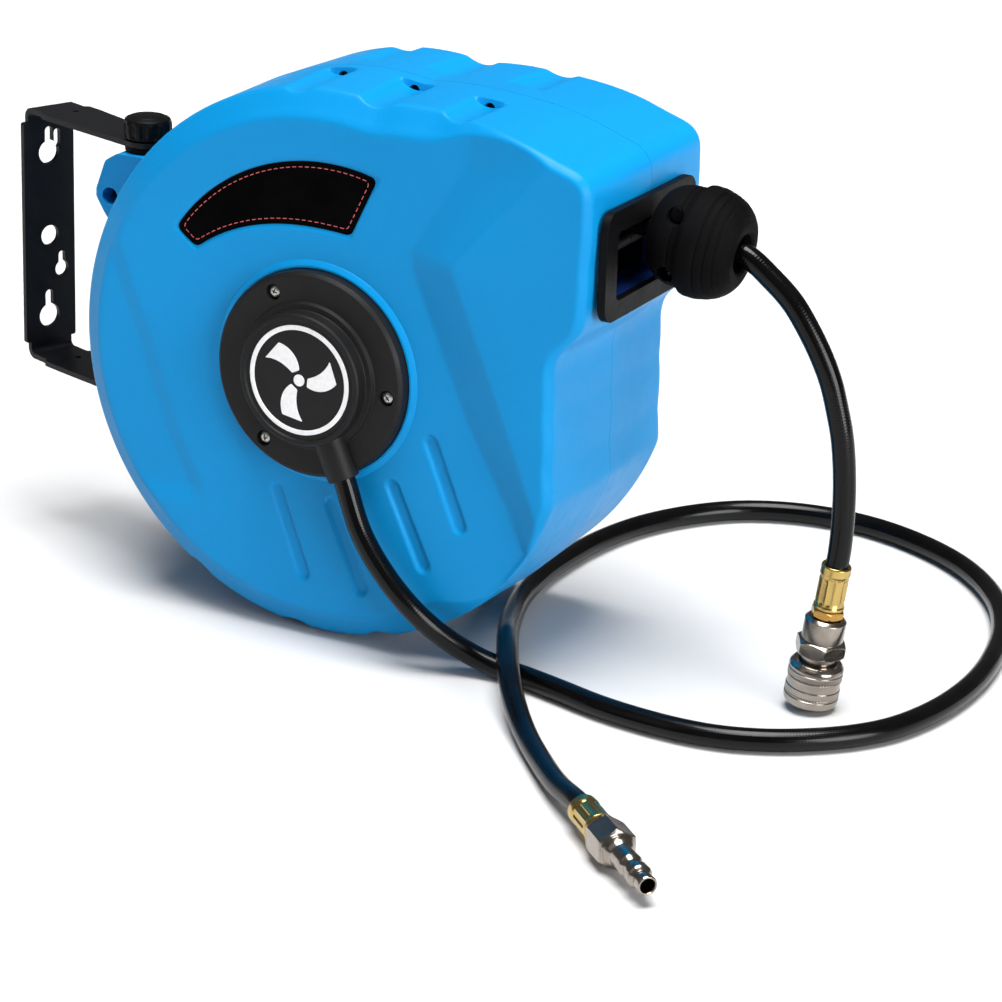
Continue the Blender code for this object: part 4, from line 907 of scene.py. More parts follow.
def half_shell(front):
    field = front_field() if front else rear_field()
    rings = []
    if front:
        y0, far = Y_SPLIT - 0.15, Y_FACE
        rim_round, rim_right = 18.0, 6.4
        drafts = [71.85, 70.9, 68.0, 65.4, 64.4, 63.4, 62.4, 61.4, 59.5, 57.4, 56.4, 55.4, 54.2, 52.4, 51.4,
                  50.2]
    else:
        y0, far = Y_SPLIT + 0.15, Y_BACK
        rim_round, rim_right = Y_RIM_B, 137.6
        drafts = [72.15, 73.1, 77.0, 82.0, 86.5, 88.6, 89.6, 90.6, 91.6]
    s = -1 if front else 1
    w = W_RIGHT if front else 0.55 * W_RIGHT

    def bevel(d):
        if front:
            rnd = rim_round - (d - 1.5) * 0.62
            rgt = rim_right - (d - 1.5) * 1.1
            return rnd * (1 - w) + rgt * w
        rnd = rim_round + (d - 1.5) * 0.62
        rgt = rim_right + (d - 1.5) * 1.5
        return rnd * (1 - w) + rgt * w

    def face(P):
        v = sample(field, P)
        return v if front else Y_BACK - v

    def limit(a, b):
        return np.maximum(a, b) if front else np.minimum(a, b)

    def draft(y):
        span = abs(Y_SPLIT - (Y_RIM if front else Y_RIM_B))
        return 1.5 * np.abs(y - y0) / span

    edge = bevel(1.6)
    for y in drafts:
        yy = np.full(N_TH, float(y))
        rings.append((RIM + NIN * draft(yy)[:, None], yy))
    y_last = edge - s * 1.7
    n_side = 9 if front else 15
    for k in range(1, n_side + 1):
        yy = drafts[-1] + (y_last - drafts[-1]) * k / n_side
        rings.append((RIM + NIN * np.minimum(draft(yy), 1.6)[:, None], yy))
    p_a, d_a = y_last, np.minimum(draft(y_last), 1.6)
    d_b = 3.4
    p_b = limit(face(RIM + NIN * d_b), bevel(d_b))
    for f in (0.25, 0.5, 0.75):
        dd = d_a * (1 - f) ** 2 + 1.6 * 2 * f * (1 - f) + d_b * f ** 2
        yy = p_a * (1 - f) ** 2 + edge * 2 * f * (1 - f) + p_b * f ** 2
        rings.append((RIM + NIN * dd[:, None], yy))
    first_face = len(rings)
    for d in np.arange(3.4, 12.6, 0.76):
        P = RIM + NIN * d
        rings.append((P, limit(face(P), bevel(d))))
    base = RIM + NIN * 12.6
    r_in = 40.0 if front else 2.0
    rb = np.hypot(base[:, 0], base[:, 1])
    ab = np.unwrap(np.arctan2(base[:, 1], base[:, 0]))
    ai = TH + (ab[0] - TH[0])
    n_in = 84 if front else 88
    for k in range(1, n_in + 1):
        f = k / n_in
        rr = rb + (r_in - rb) * f
        g = smoothstep(0, 0.5, f)
        aa = ab * (1 - g) + ai * g
        P = np.stack([rr * np.cos(aa), rr * np.sin(aa)], 1)
        yy = face(P)
        b = bevel(12.6 + 1.3 * k)
        rings.append((P, limit(yy, b) if k < 9 else yy))
    # fillets across the rings of the face
    Ys = np.array([r[1] for r in rings])
    for _ in range(2):
        sm = Ys.copy()
        a = first_face - 1
        sm[a:a + 22] = (Ys[a - 1:a + 21] + 2 * Ys[a:a + 22] + Ys[a + 1:a + 23]) / 4
        Ys = sm
    rings = [(scallops(P, y, front), y) for (P, _), y in zip(rings, Ys)]
    # inner wall
    if front:
        back = [(rings[-1][0] * 1.0, np.full(N_TH, Y_FACE + 1.0)),
                (rings[-1][0] * 1.02, np.full(N_TH, Y_FACE + 3.0)),
                (RIM + NIN * 22.0, np.full(N_TH, Y_FACE + 4.6)),
                (RIM + NIN * 8.0, np.full(N_TH, 20.5)),
                (RIM + NIN * 8.0, np.full(N_TH, y0))]
    else:
        back = [(rings[-1][0], np.full(N_TH, 139.5)),
                (rings[-1][0] * 3.0, np.full(N_TH, 139.3)),
                (RIM + NIN * 22.0, np.full(N_TH, 138.4)),
                (RIM + NIN * 8.0, np.full(N_TH, 127.0)),
                (RIM + NIN * 8.0, np.full(N_TH, y0))]
    back = [back[0]] + [(scallop_inner(P, y), y) for P, y in back[1:]]
    rings = rings + back
    V = np.zeros((len(rings), N_TH, 3))
    for k, (P, y) in enumerate(rings):
        V[k, :, 0], V[k, :, 1], V[k, :, 2] = P[:, 0], y, P[:, 1]
    faces = grid_faces(len(rings), N_TH, True, True, flip=front)
    if not front:
        # close the small hole at the centre of the back with two fans of faces
        n_f = len(rings) - len(back)
        keep = np.ones(len(faces), bool)
        row = np.repeat(np.arange(len(rings)), N_TH)
        keep[row == n_f - 1] = False
        faces = faces[keep]
        a = [(n_f - 1) * N_TH + j for j in range(N_TH)]
        b = [n_f * N_TH + j for j in range(N_TH)]
        faces = faces.tolist() + [a, b[::-1]]
    name = "case_front_shell" if front else "case_rear_shell"
    ob = mesh_ob(name, xf(CASE, V.reshape(-1, 3)), faces, M_BLUE if front else M_BLUE_REAR)
    outward(ob)
    notch = prism_bm(box_pts(21.5, 111, 56.5, 107.0), 147, 175, "yz")
    carve(ob, notch)
    if front:
        for i, (S, n, y_end) in enumerate(SPOTS):
            c = S - n * 5.35
            if i != 4:
                carve(ob, cyl_bm(3.4, y_end - 0.6, y_end + 5.2, (c[0], 0, c[1]), (0, 1, 0), 40))
                carve(ob, cyl_bm(1.6, y_end + 4, y_end + 16, (c[0], 0, c[1]), (0, 1, 0), 20))
    ob.data.shade_smooth()
    ob.data.set_sharp_from_angle(angle=math.radians(50))
    return ob


def scallop_inner(P, y):
    """Keep the inner wall clear of the pressed channels."""
    P = P.copy()
    for S, n, _ in SPOTS:
        t = np.array([-n[1], n[0]])
        c = (P - S) @ n
        s = (P - S) @ t
        lim = np.where(np.abs(s) < 15, -8.4 - 2.6 * (1 - (s / 15) ** 2), 99.0)
        P += np.minimum(lim - c, 0.0)[:, None] * n
    return P


shell_f = place(half_shell(True), "case", "case_blue", "housing_front")
shell_r = place(half_shell(False), "case", "case_blue", "housing_rear")


# --------------------------------------------------------------- pivot lugs, spine
def blue_block(name, pts, y0, y1, cuts=(), edge=1.1, plane="xz"):
    ob = bm_ob(name, prism_bm(pts, y0, y1, plane), M_BLUE)
    for c in cuts:
        carve(ob, c)
    soft_edges(ob, edge, 3)
    return place(ob, "case", "case_blue")


def bore():
    return cyl_bm(4.4, -120, 140, (-146, 72, 0), (0, 0, 1), 40)


LUG_U = rounded([(-120, 36), (-127, 85.2), (-156, 85.2), (-163.5, 80.5), (-169.5, 64),
                 (-169.5, 59.5), (-165, 52), (-156, 40)], [0, 2, 4, 5, 3, 3, 5, 3], 5, True)
LUG_L = rounded([(-120, -26), (-164, -26), (-167, -30), (-167, -46), (-163, -49.5), (-120, -49.5)],
                [0, 2, 3, 3, 3, 0], 5, True)
blue_block("lug_upper_front", LUG_U, 56.0, 71.85,
           [bore(), cyl_bm(5.0, 50, 67.4, (-160.5, 0, 60.5), (0, 1, 0), 40),
            cyl_bm(2.4, 50, 90, (-160.5, 0, 60.5), (0, 1, 0), 24)])
blue_block("lug_upper_rear", LUG_U, 72.15, 88.0,
           [bore(), cyl_bm(2.4, 50, 90, (-160.5, 0, 60.5), (0, 1, 0), 24)])
blue_block("lug_lower_front", LUG_L, 56.0, 71.85, [bore()])
blue_block("lug_lower_rear", LUG_L, 72.15, 88.0, [bore()])
blue_block("spine_front", box_pts(-158.5, -137.5, -40, 50), 62.0, 71.85, [bore()], 1.5)
blue_block("spine_rear", box_pts(-158.5, -137.5, -40, 50), 72.15, 82.0, [bore()], 1.5)
for nm, z0, z1, body, node in (("bush_upper", 85.5, 88.7, "case", "pivot_bush_upper"),
                               ("bush_lower", -53.7, -49.8, "case", "pivot_bush_lower")):
    e = 0.7
    ob = turn(nm, [(4.3, z0), (12.5 - e, z0), (12.5 - e * 0.3, z0 + e * 0.3), (12.5, z0 + e),
                   (12.5, (z0 + z1) / 2 - 0.4), (12.1, (z0 + z1) / 2 - 0.1),
                   (12.1, (z0 + z1) / 2 + 0.1), (12.5, (z0 + z1) / 2 + 0.4), (12.5, z1 - e),
                   (12.5 - e * 0.3, z1 - e * 0.3), (12.5 - e, z1), (4.3, z1)],
              (-146, 72, 0), (0, 0, 1), M_BLACK, closed_prof=True)
    place(ob, body, "black_plastic", node)


# ------------------------------------------------------------------- label plate
_pts, _rad = label_outline(0.0, 4.6)
lab = bm_ob("label_face", prism_bm(rounded(_pts, _rad, 5, True), 9.22, 10.2, "xz"), M_LABEL)
soft_edges(lab, 0.16, 2)
place(lab, "case", "label", "label_plate")


def dashes(name, path, dash, gap, width, y, thick, mat):
    """Small raised bars laid along a closed path in X, Z."""
    P = np.array(path + [path[0]], float)
    cum = np.concatenate([[0], np.cumsum(np.linalg.norm(np.diff(P, axis=0), axis=1))])
    n = int(cum[-1] / (dash + gap))
    verts, faces = [], []
    for k in range(n):
        s0 = cum[-1] * k / n
        s1 = s0 + dash
        ss = np.linspace(s0, min(s1, cum[-1]), 4)
        c = np.stack([np.interp(ss, cum, P[:, 0]), np.interp(ss, cum, P[:, 1])], 1)
        t = np.gradient(c, axis=0)
        t /= np.maximum(np.linalg.norm(t, axis=1)[:, None], 1e-9)
        nn = np.stack([-t[:, 1], t[:, 0]], 1) * width / 2
        b = len(verts)
        for q, m in zip(c, nn):
            a1, a2 = q + m, q - m
            verts += [(a1[0], y, a1[1]), (a2[0], y, a2[1]), (a2[0], y + thick, a2[1]),
                      (a1[0], y + thick, a1[1])]
        for i in range(3):
            o, p = b + i * 4, b + (i + 1) * 4
            for u in range(4):
                v = (u + 1) % 4
                faces.append((o + u, o + v, p + v, p + u))
        faces.append((b, b + 1, b + 2, b + 3))
        faces.append((b + 15, b + 14, b + 13, b + 12))
    ob = mesh_ob(name, xf(CASE, verts), faces, mat, smooth=False)
    return outward(ob)


_pts, _rad = label_outline(3.0, 3.2)
ob = dashes("label_border", rounded(_pts, _rad, 5, True), 2.3, 1.5, 0.42, 9.17, 0.12, M_RED)
place(ob, "case", "label")


# ------------------------------------------------------------------- inlet cover
def cyl_ring(name, pts, rads, mat, seg=128, origin=(0, 0, 0), axis=(0, 1, 0), n=4, closed=False, **kw):
    return turn(name, rounded(pts, rads, n, closed), origin, axis, mat, seg=seg, closed_prof=closed,
                **kw)


cover = cyl_ring(
    "cover_disc",
    [(0, -9.0), (32.3, -9.0), (33.0, -10.2), (34.9, -10.2), (35.9, -9.2), (36.3, -2.5), (39.5, -2.1),
     (40.3, -0.1), (53.9, -0.1), (55.9, 2.0), (56.0, 8.6), (34.0, 8.6), (34.0, -7.2), (0, -7.2)],
    [0, 0.5, 0.4, 0.7, 0.6, 0.8, 0.5, 0.8, 1.2, 1.2, 0.4, 0.4, 0.4, 0], M_COVER, 160)
# lip of the case round the cover
lip = turn("case_lip", rounded([(56.35, 9.9), (56.35, 7.3), (57.7, 7.3), (60.6, 8.9), (60.6, 9.9)],
                               [0, 0.5, 0.6, 1.6, 0], 5, True),
           (0, 0, 0), (0, 1, 0), M_BLUE, seg=192, closed_prof=True)
place(lip, "case", "case_blue")


def spigot_bm():
    prof = rounded([(9.0, 33.6), (9.0, 36.0), (8.8, 50), (8.5, 56.6), (8.5, 57.4), (7.0, 57.5)],
                   [0, 3, 3, 0.4, 0.4, 0], 4)
    u, v, w = frame_axes(SPIG)
    bm = bmesh.new()
    rings = []
    for r, a in prof:
        rings.append([bm.verts.new(Vector((0, SPIG_Y, 0)) + w * a + u * (r * math.cos(t))
                                   + v * (r * math.sin(t)))
                      for t in [2 * math.pi * k / 64 for k in range(64)]])
    for a, b in zip(rings, rings[1:]):
        for i in range(64):
            j = (i + 1) % 64
            bm.faces.new((a[i], a[j], b[j], b[i]))
    bm.faces.new(rings[0][::-1])
    bm.faces.new(rings[-1])
    bmesh.ops.recalc_face_normals(bm, faces=bm.faces)
    return bm


COVER_SCREWS = (117, -5, -124)
carve(cover, spigot_bm(), "UNION")
# saddle that carries the duct down to the rim, and the cap over its root
sad = rounded([(-8.8, -39.5), (8.8, -39.5), (8.3, -56.4), (-8.3, -56.4)], 2.0, 4, True)
ang = math.atan2(SPIG.z, SPIG.x) + math.pi / 2
sad = [(p[0] * math.cos(ang) - p[1] * math.sin(ang), p[0] * math.sin(ang) + p[1] * math.cos(ang))
       for p in sad]
carve(cover, prism_bm(sad, -0.6, 6.0, "xz"), "UNION")
carve(cover, prism_bm(box_pts(-90, 90, -90, 90), 8.62, 30, "xz"))
carve(cover, merge_bm(
    cyl_bm(HOSE_R + 0.7, 40, 70, (0, SPIG_Y, 0), SPIG, 48),
    *[cyl_bm(4.3, -8, 3.0, (47.4 * math.cos(math.radians(a)), 0, 47.4 * math.sin(math.radians(a))),
             (0, 1, 0), 48) for a in COVER_SCREWS]))
soft_edges(cover, 0.35, 2, 40, 38)
place(cover, "case", "black_plastic", "inlet_cover")


def cross_screw(name, centre, axis, r_head, h, mat, body, slot, nodes, bore=True, turn_deg=20, m=CASE):
    """Pan head with a cross recess; the head's face looks against the axis."""
    prof = rounded([(0, 0.0), (r_head * 0.55, 0.05), (r_head * 0.9, h * 0.35), (r_head, h * 0.72),
                    (r_head, h), (r_head * 0.45, h), (r_head * 0.45, h + 6), (0, h + 6.6)],
                   [0, r_head * 0.3, r_head * 0.3, 0.2, 0.15, 0.1, 0.3, 0], 4)
    ob = turn(name, prof, centre, axis, mat, m, 64)
    u, v, w = frame_axes(axis)
    a = math.radians(turn_deg)
    cu, cv = u * math.cos(a) + v * math.sin(a), -u * math.sin(a) + v * math.cos(a)
    cut = []
    for p, q in ((cu, cv), (cv, cu)):
        bm = bmesh.new()
        L, W = r_head * 0.60, r_head * 0.15
        top = [Vector(centre) + p * (L * i) + q * (W * j) - w * 0.5 for i, j in
               ((-1, -1), (1, -1), (1, 1), (-1, 1))]
        bot = [Vector(centre) + p * (L * 0.35 * i) + q * (W * 0.7 * j) + w * (h * 0.85) for i, j in
               ((-1, -1), (1, -1), (1, 1), (-1, 1))]
        tv = [bm.verts.new(x) for x in top]
        bv = [bm.verts.new(x) for x in bot]
        bm.faces.new(tv)
        bm.faces.new(bv[::-1])
        for i in range(4):
            j = (i + 1) % 4
            bm.faces.new((tv[i], tv[j], bv[j], bv[i]))
        bmesh.ops.recalc_face_normals(bm, faces=bm.faces)
        cut.append(bm)
    if bore:
        for c in cut:
            carve(ob, c, m=m)
    ob.data.shade_smooth()
    ob.data.set_sharp_from_angle(angle=math.radians(40))
    return place(ob, body, slot, *nodes)


for i, a in enumerate(COVER_SCREWS):
    c = (47.4 * math.cos(math.radians(a)), 0.7, 47.4 * math.sin(math.radians(a)))
    cross_screw("cover_screw_%d_head" % (i + 1), c, (0, 1, 0), 3.4, 1.9, M_ZINC, "case", "steel",
                ["cover_screw_%d" % (i + 1)], turn_deg=17 + 31 * i)

# printed ring and rotor on the hub
badge = turn("hub_ring", rounded([(27.2, -8.95), (27.2, -9.35), (29.8, -9.35), (29.8, -8.95)],
                                 [0, 0.12, 0.12, 0], 3, True), (0, 0, 0), (0, 1, 0), M_BADGE,
             seg=160, closed_prof=True)
place(badge, "case", "white_print", "inlet_badge")
blades = []
for k in range(3):
    a0 = 90 + 120 * k
    pts = []
    for t in np.linspace(0, 1, 16):
        r = 5.5 + 17.0 * t
        pts.append((r, a0 + 34 * t ** 1.3))
    for t in np.linspace(1, 0, 16):
        r = 5.5 + 17.0 * t
        pts.append((r, a0 + 34 * t ** 1.3 + 50 - 18 * t))
    xy = [(r * math.cos(math.radians(a)), r * math.sin(math.radians(a))) for r, a in pts]
    blades.append(prism_bm(rounded(xy, 0.8, 3, True), -9.33, -8.9, "xz"))
blades.append(cyl_bm(3.2, -9.33, -8.9, (0, 0, 0), (0, 1, 0), 40))
rotor = bm_ob("hub_rotor", merge_bm(*blades), M_BADGE)
soft_edges(rotor, 0.1, 2)
place(rotor, "case", "white_print")


# ------------------------------------------------------------------ case screws
def vec2(p):
    return (float(p[0]), float(p[1]))


n_s = 1
for i, (S, n, y_end) in enumerate(SPOTS):
    if i == 4:
        continue                     # a moulded channel without a screw
    c = S - n * 5.35
    cross_screw("case_screw_%d_head" % n_s, (c[0], y_end + 1.5, c[1]), (0, 1, 0), 3.0, 2.9, M_DARKZINC,
                "case", "steel", ["case_screw_%d" % n_s], turn_deg=11 + 27 * n_s)
    n_s += 1
cross_screw("case_screw_6_head", (-160.5, 64.0, 60.5), (0, 1, 0), 4.5, 3.2, M_DARKZINC, "case", "steel",
            ["case_screw_6"], turn_deg=33)


# ------------------------------------------------------------------------ bezel
def rrect(a0, a1, b0, b1, r, n=8):
    return (arc(a1 - r, b0 + r, r, -90, 0, n) + arc(a1 - r, b1 - r, r, 0, 90, n)
            + arc(a0 + r, b1 - r, r, 90, 180, n) + arc(a0 + r, b0 + r, r, 180, 270, n))


bez = bm_ob("bezel_frame", prism_bm(rrect(12, 118, 51.5, 109, 9.5, 14), 159.9, 164.2, "yz"), M_BLACK)
for ya in (27, 105):
    carve(bez, prism_bm(rounded(box_pts(ya, ya + 4, 60, 106), 1.2, 3, True), 138, 161, "yz"), "UNION")
carve(bez, prism_bm(rrect(25, 103, 61.5, 97.5, 3.5), 150, 170, "yz"))
soft_edges(bez, 0.75, 3, 35)
place(bez, "case", "black_plastic", "outlet_bezel")
# inner throat of the outlet, moulded with the case; its dark blue is painted shade, the case blue darkened
# for the shade inside the outlet
thr = bm_ob("outlet_throat", prism_bm(rrect(22.0, 110, 57.5, 106, 3), 141, 158.4, "yz"), M_THROAT_SHADE)
carve(thr, prism_bm(rrect(24.6, 104.4, 60.5, 103, 3), 120, 170, "yz"))
soft_edges(thr, 0.5, 2)
place(thr, "case", "case_blue")

_dist = math.hypot(BALL_C.z + 3.3, BALL_C.x - 23.7)
_ang = math.degrees(math.atan2(BALL_C.z + 3.3, BALL_C.x - 23.7)) + math.degrees(math.acos(WRAP_R / _dist))
TAN = Vector((WRAP_R * math.cos(math.radians(_ang)), HOSE_Y, WRAP_R * math.sin(math.radians(_ang))))
FEED = Vector((math.sin(math.radians(_ang)), 0, -math.cos(math.radians(_ang))))
Z_ROLL = TAN.z + FEED.z / FEED.x * (146.5 - TAN.x)
for tag, dz in (("upper", 10.9), ("lower", -10.9)):
    c = (146.5, 0, Z_ROLL + dz)
    ob = turn("roller_" + tag + "_skin", rounded(
        [(2.35, 32.2), (3.9, 32.2), (4.3, 32.8), (4.3, 35.0), (3.9, 35.4), (3.9, 36.2), (4.3, 36.6),
         (4.3, 66.5), (4.1, 67.4), (4.1, 68.6), (4.3, 69.5),
         (4.3, 99.4), (3.9, 99.8), (3.9, 100.6), (4.3, 101.0), (4.3, 103.2), (3.9, 103.8),
         (2.35, 103.8)], 0.3, 3, True), c, (0, 1, 0), M_ROLLER, seg=64, closed_prof=True)
    place(ob, "roller_" + tag, "drum_plastic", "guide_roller_" + tag)
    ob = turn("pin_" + tag + "_skin", rounded(
        [(0, 26.5), (1.6, 26.5), (2.0, 26.9), (2.0, 29.0), (1.7, 29.2), (1.7, 30.0), (2.0, 30.2),
         (2.0, 109.1), (1.6, 109.5), (0, 109.5)],
        [0, .2, .2, .1, .1, .1, .1, .2, .2, 0], 3), c, (0, 1, 0), M_ZINC, seg=48)
    place(ob, "case", "steel", "guide_pin_" + tag)
feed0 = TAN + FEED * 54.0
_back = BALL_C + BALL_DIR * -23.5
feed1 = TAN + FEED * ((_back - TAN).dot(FEED) - 0.9)


# -------------------------------------------------------------------- stop ball
BALL_PROF = [(6.4, -23.3), (9.6, -23.4), (15.5, -23.3), (18.6, -22.4), (21.6, -20.3), (23.6, -17.8),
             (25.2, -14.8), (26.0, -12.0), (26.4, -9.4), (26.5, -7.6), (26.0, -7.2), (26.0, -6.6),
             (26.6, -6.2), (26.8, -4.4), (26.3, -4.0), (26.3, -3.4), (26.9, -3.0), (27.1, -1.4),
             (28.9, -1.2), (29.2, 0.4), (29.2, 5.2), (28.7, 7.9), (28.0, 8.1), (27.9, 8.7), (28.3, 9.3),
             (27.5, 12.4), (26.7, 12.8), (26.5, 13.5), (26.8, 14.1), (25.4, 17.0), (24.5, 17.3),
             (24.2, 18.0), (24.3, 18.5), (22.2, 20.9), (19.6, 22.9), (16.4, 24.2), (12.4, 24.2),
             (10.6, 23.4), (9.8, 19.0), (9.4, 15.4), (6.4, 15.0)]
PERP = Vector((-BALL_DIR.z, 0, BALL_DIR.x))
BALL_SCREWS = [BALL_C + BALL_DIR * -8.0 + PERP * dz for dz in (15.5, -15.5)]
for tag, sgn in (("front", -1), ("rear", 1)):
    u, v, w = frame_axes(BALL_DIR)
    # v or -v is the sideways axis: the half begins and ends on the seam plane
    base = math.atan2(Vector((0, 1, 0)).dot(v), Vector((0, 1, 0)).dot(u))
    mid = base if sgn > 0 else base + math.pi
    ob = turn("ball_" + tag, rounded(BALL_PROF, 0.45, 3, True), BALL_C, BALL_DIR, M_RUBBER, seg=96,
              a0=mid - math.pi / 2 + 0.006, a1=mid + math.pi / 2 - 0.006, closed_prof=True)
    cuts = []
    for p in BALL_SCREWS:
        if sgn < 0:
            cuts.append(cyl_bm(4.7, 15, 55.4, (p.x, 0, p.z), (0, 1, 0), 48))
        else:
            cuts.append(cyl_bm(4.2, 84, 120, (p.x, 0, p.z), (0, 1, 0), 48))
    for c in cuts:
        carve(ob, c)
    ob.data.shade_smooth()
    ob.data.set_sharp_from_angle(angle=math.radians(40))
    place(ob, "hose", "rubber", "stop_ball_" + tag)
p = BALL_SCREWS[0]
plug_ob = turn("ball_hole_plug", rounded([(0, 47.9), (3.6, 47.9), (4.45, 48.5), (4.45, 51.2), (0, 51.2)],
                                         [0, 0.5, 0.5, 0.3, 0], 4), (p.x, 0, p.z), (0, 1, 0), M_RUBBER,
               seg=64)
place(plug_ob, "hose", "rubber")
for i, p in enumerate(BALL_SCREWS):
    cross_screw("ball_screw_%d" % (i + 1), (p.x, 52.2, p.z), (0, 1, 0), 4.1, 2.9, M_DARKZINC, "hose",
                "steel", ["stop_ball_screw_%d" % (i + 1)], turn_deg=20 + 50 * i)


# ------------------------------------------------------------ ferrules and fittings
def ferrule(name, base, d, body, node):
    """Crimped ferrule: plain collars at both ends, eight long flats pressed between."""
    prof = rounded([(6.35, -5.2), (7.3, -5.3), (7.9, -4.6), (7.95, -0.6), (7.7, 0.2), (7.45, 1.2),
                    (7.45, 15.6), (7.6, 16.6), (8.15, 17.4), (8.25, 18.6), (7.4, 19.1), (0, 19.1)],
                   [0, .3, .4, .4, .3, .6, .6, .4, .3, .4, .2, 0], 4)
    prof = [(0, -5.2)] + prof
    dense = []
    for (r0, a0), (r1, a1) in zip(prof, prof[1:]):
        k = max(1, int(abs(a1 - a0) / 0.6))
        dense += [(r0 + (r1 - r0) * i / k, a0 + (a1 - a0) * i / k) for i in range(k)]
    dense.append(prof[-1])

    def rf(PH, R, AL):
        k = np.mod(PH, math.pi / 6) - math.pi / 12
        zone = smoothstep(0.6, 2.2, AL) * (1 - smoothstep(14.6, 16.2, AL))
        ridge = 0.30 * np.exp(-((np.abs(k) - math.pi / 12) / 0.07) ** 2)
        flat = -0.40 * (np.cos(12 * k) * 0.5 + 0.5) ** 0.6
        rings = 0.03 * np.sin(AL * 2 * math.pi / 1.9) * zone
        out = (R > 7.2)
        return R + np.where(out, zone * (flat + ridge) + rings, 0)
    ob = turn(name, dense, base, d, M_BRASS, seg=192, rfun=rf)
    return place(ob, body, "brass", node)


f1 = ferrule("lead_ferrule_skin", LEAD_END, FIT_DIR, "hose", "lead_ferrule")
n1 = hex_turn("lead_nut_skin", 15.6, 19.3, 24.0, 0.5, LEAD_END, FIT_DIR, M_BRASS_O)
place(n1, "hose", "brass", "lead_nut")


def dense_prof(prof, step=0.7):
    out = []
    for (r0, a0), (r1, a1) in zip(prof, prof[1:]):
        k = max(1, int(math.hypot(a1 - a0, r1 - r0) / step))
        out += [(r0 + (r1 - r0) * i / k, a0 + (a1 - a0) * i / k) for i in range(k)]
    out.append(prof[-1])
    return out


cb = turn("coupler_barrel", rounded(
    [(0, 24.3), (9.3, 24.3), (11.0, 25.9), (11.0, 37.4), (10.4, 38.0), (10.4, 43.8), (10.9, 44.4), (10.9, 45.5), (9.6, 45.8), (9.6, 63.0),
     (8.7, 63.4), (8.7, 72.4), (8.1, 73.0), (5.7, 73.0), (5.2, 72.5), (5.2, 56.0), (0, 56.0)],
    [0, .5, .6, .2, .2, .2, .3, .3, .2, .2, .2, .3, .3, .3, .3, .2, 0], 4),
    LEAD_END, FIT_DIR, M_NICKEL, seg=128)
place(cb, "hose", "nickel" if "nickel" in str(frame["record"]) else "steel", "coupler_body")
ch = hex_turn("coupler_hexagon", 24.0, 37.0, 45.6, 0.8, LEAD_END, FIT_DIR, M_NICKEL, bore=10.0,
              seg=240)
place(ch, "hose", "nickel" if "nickel" in str(frame["record"]) else "steel")


def sleeve_r(PH, R, AL):
    """Fine knurl in two bands round the sleeve."""
    band = (smoothstep(54.6, 55.0, AL) * (1 - smoothstep(58.0, 58.4, AL))
            + smoothstep(63.6, 64.0, AL) * (1 - smoothstep(67.0, 67.4, AL)))
    k = 0.5 + 0.5 * np.cos(PH * 60)
    return R - np.where(R > 14.0, band * k * 0.32, 0)


cs = turn("sleeve_skin", dense_prof(rounded(
    [(10.0, 49.5), (11.9, 49.5), (12.7, 49.9), (14.0, 51.4), (14.4, 52.4), (14.4, 53.6), (14.0, 53.9),
     (14.0, 54.4), (14.4, 54.7), (14.4, 58.4), (14.0, 58.8), (14.0, 63.2), (14.4, 63.6), (14.4, 67.3),
     (14.0, 67.7), (14.0, 68.3), (14.4, 68.6), (14.4, 70.6), (13.9, 72.4), (13.0, 73.4), (11.6, 73.6),
     (10.0, 73.2)], 0.35, 3, True), 0.5), LEAD_END, FIT_DIR, M_NICKEL, seg=360, rfun=sleeve_r,
    closed_prof=True)
place(cs, "sleeve", "nickel" if "nickel" in str(frame["record"]) else "steel", "coupler_sleeve")

f2 = ferrule("inlet_ferrule_skin", INLET_END, PLUG_DIR, "case", "inlet_ferrule")
n2 = hex_turn("inlet_nut_skin", 15.6, 19.3, 22.6, 0.5, INLET_END, PLUG_DIR, M_BRASS_O)
place(n2, "case", "brass", "inlet_nut")
def along(a):
    """The plug's parts are drawn from the nut, stretched by the same share."""
    return 22.9 + (a - 22.9) * 1.22


pl = turn("plug_skin", dense_prof(rounded([(r, along(a)) for r, a in
    [(0, 22.9), (7.9, 22.9), (8.8, 24.0), (8.8, 38.6), (8.0, 39.2), (8.0, 40.4), (7.4, 41.6),
     (6.2, 43.2), (6.2, 52.0), (5.7, 52.9), (4.6, 53.9), (4.5, 56.6), (5.6, 57.9), (6.2, 58.6),
     (6.2, 61.8), (5.6, 62.6), (4.3, 63.6), (4.3, 64.6), (4.9, 65.8), (4.9, 69.4), (4.5, 70.0),
     (3.9, 70.0), (3.6, 69.6), (3.6, 46.0), (0, 46.0)]],
    [0, .4, .5, .3, .3, .4, .8, 1.2, .5, .5, .8, .8, .4, .4, .4, .4, .4, .4, .4, .3, .3, .2, .2, .1, 0],
    4), 0.9), INLET_END, PLUG_DIR, M_NICKEL, seg=128)
place(pl, "case", "nickel" if "nickel" in str(frame["record"]) else "steel", "inlet_plug")
ph = hex_turn("plug_hexagon", 18.6, 23.1, along(38.5), 1.1, INLET_END, PLUG_DIR, M_NICKEL, bore=8.0, seg=240)
place(ph, "case", "nickel" if "nickel" in str(frame["record"]) else "steel")


# ---------------------------------------------------------------------- bracket
HALF = 74.5


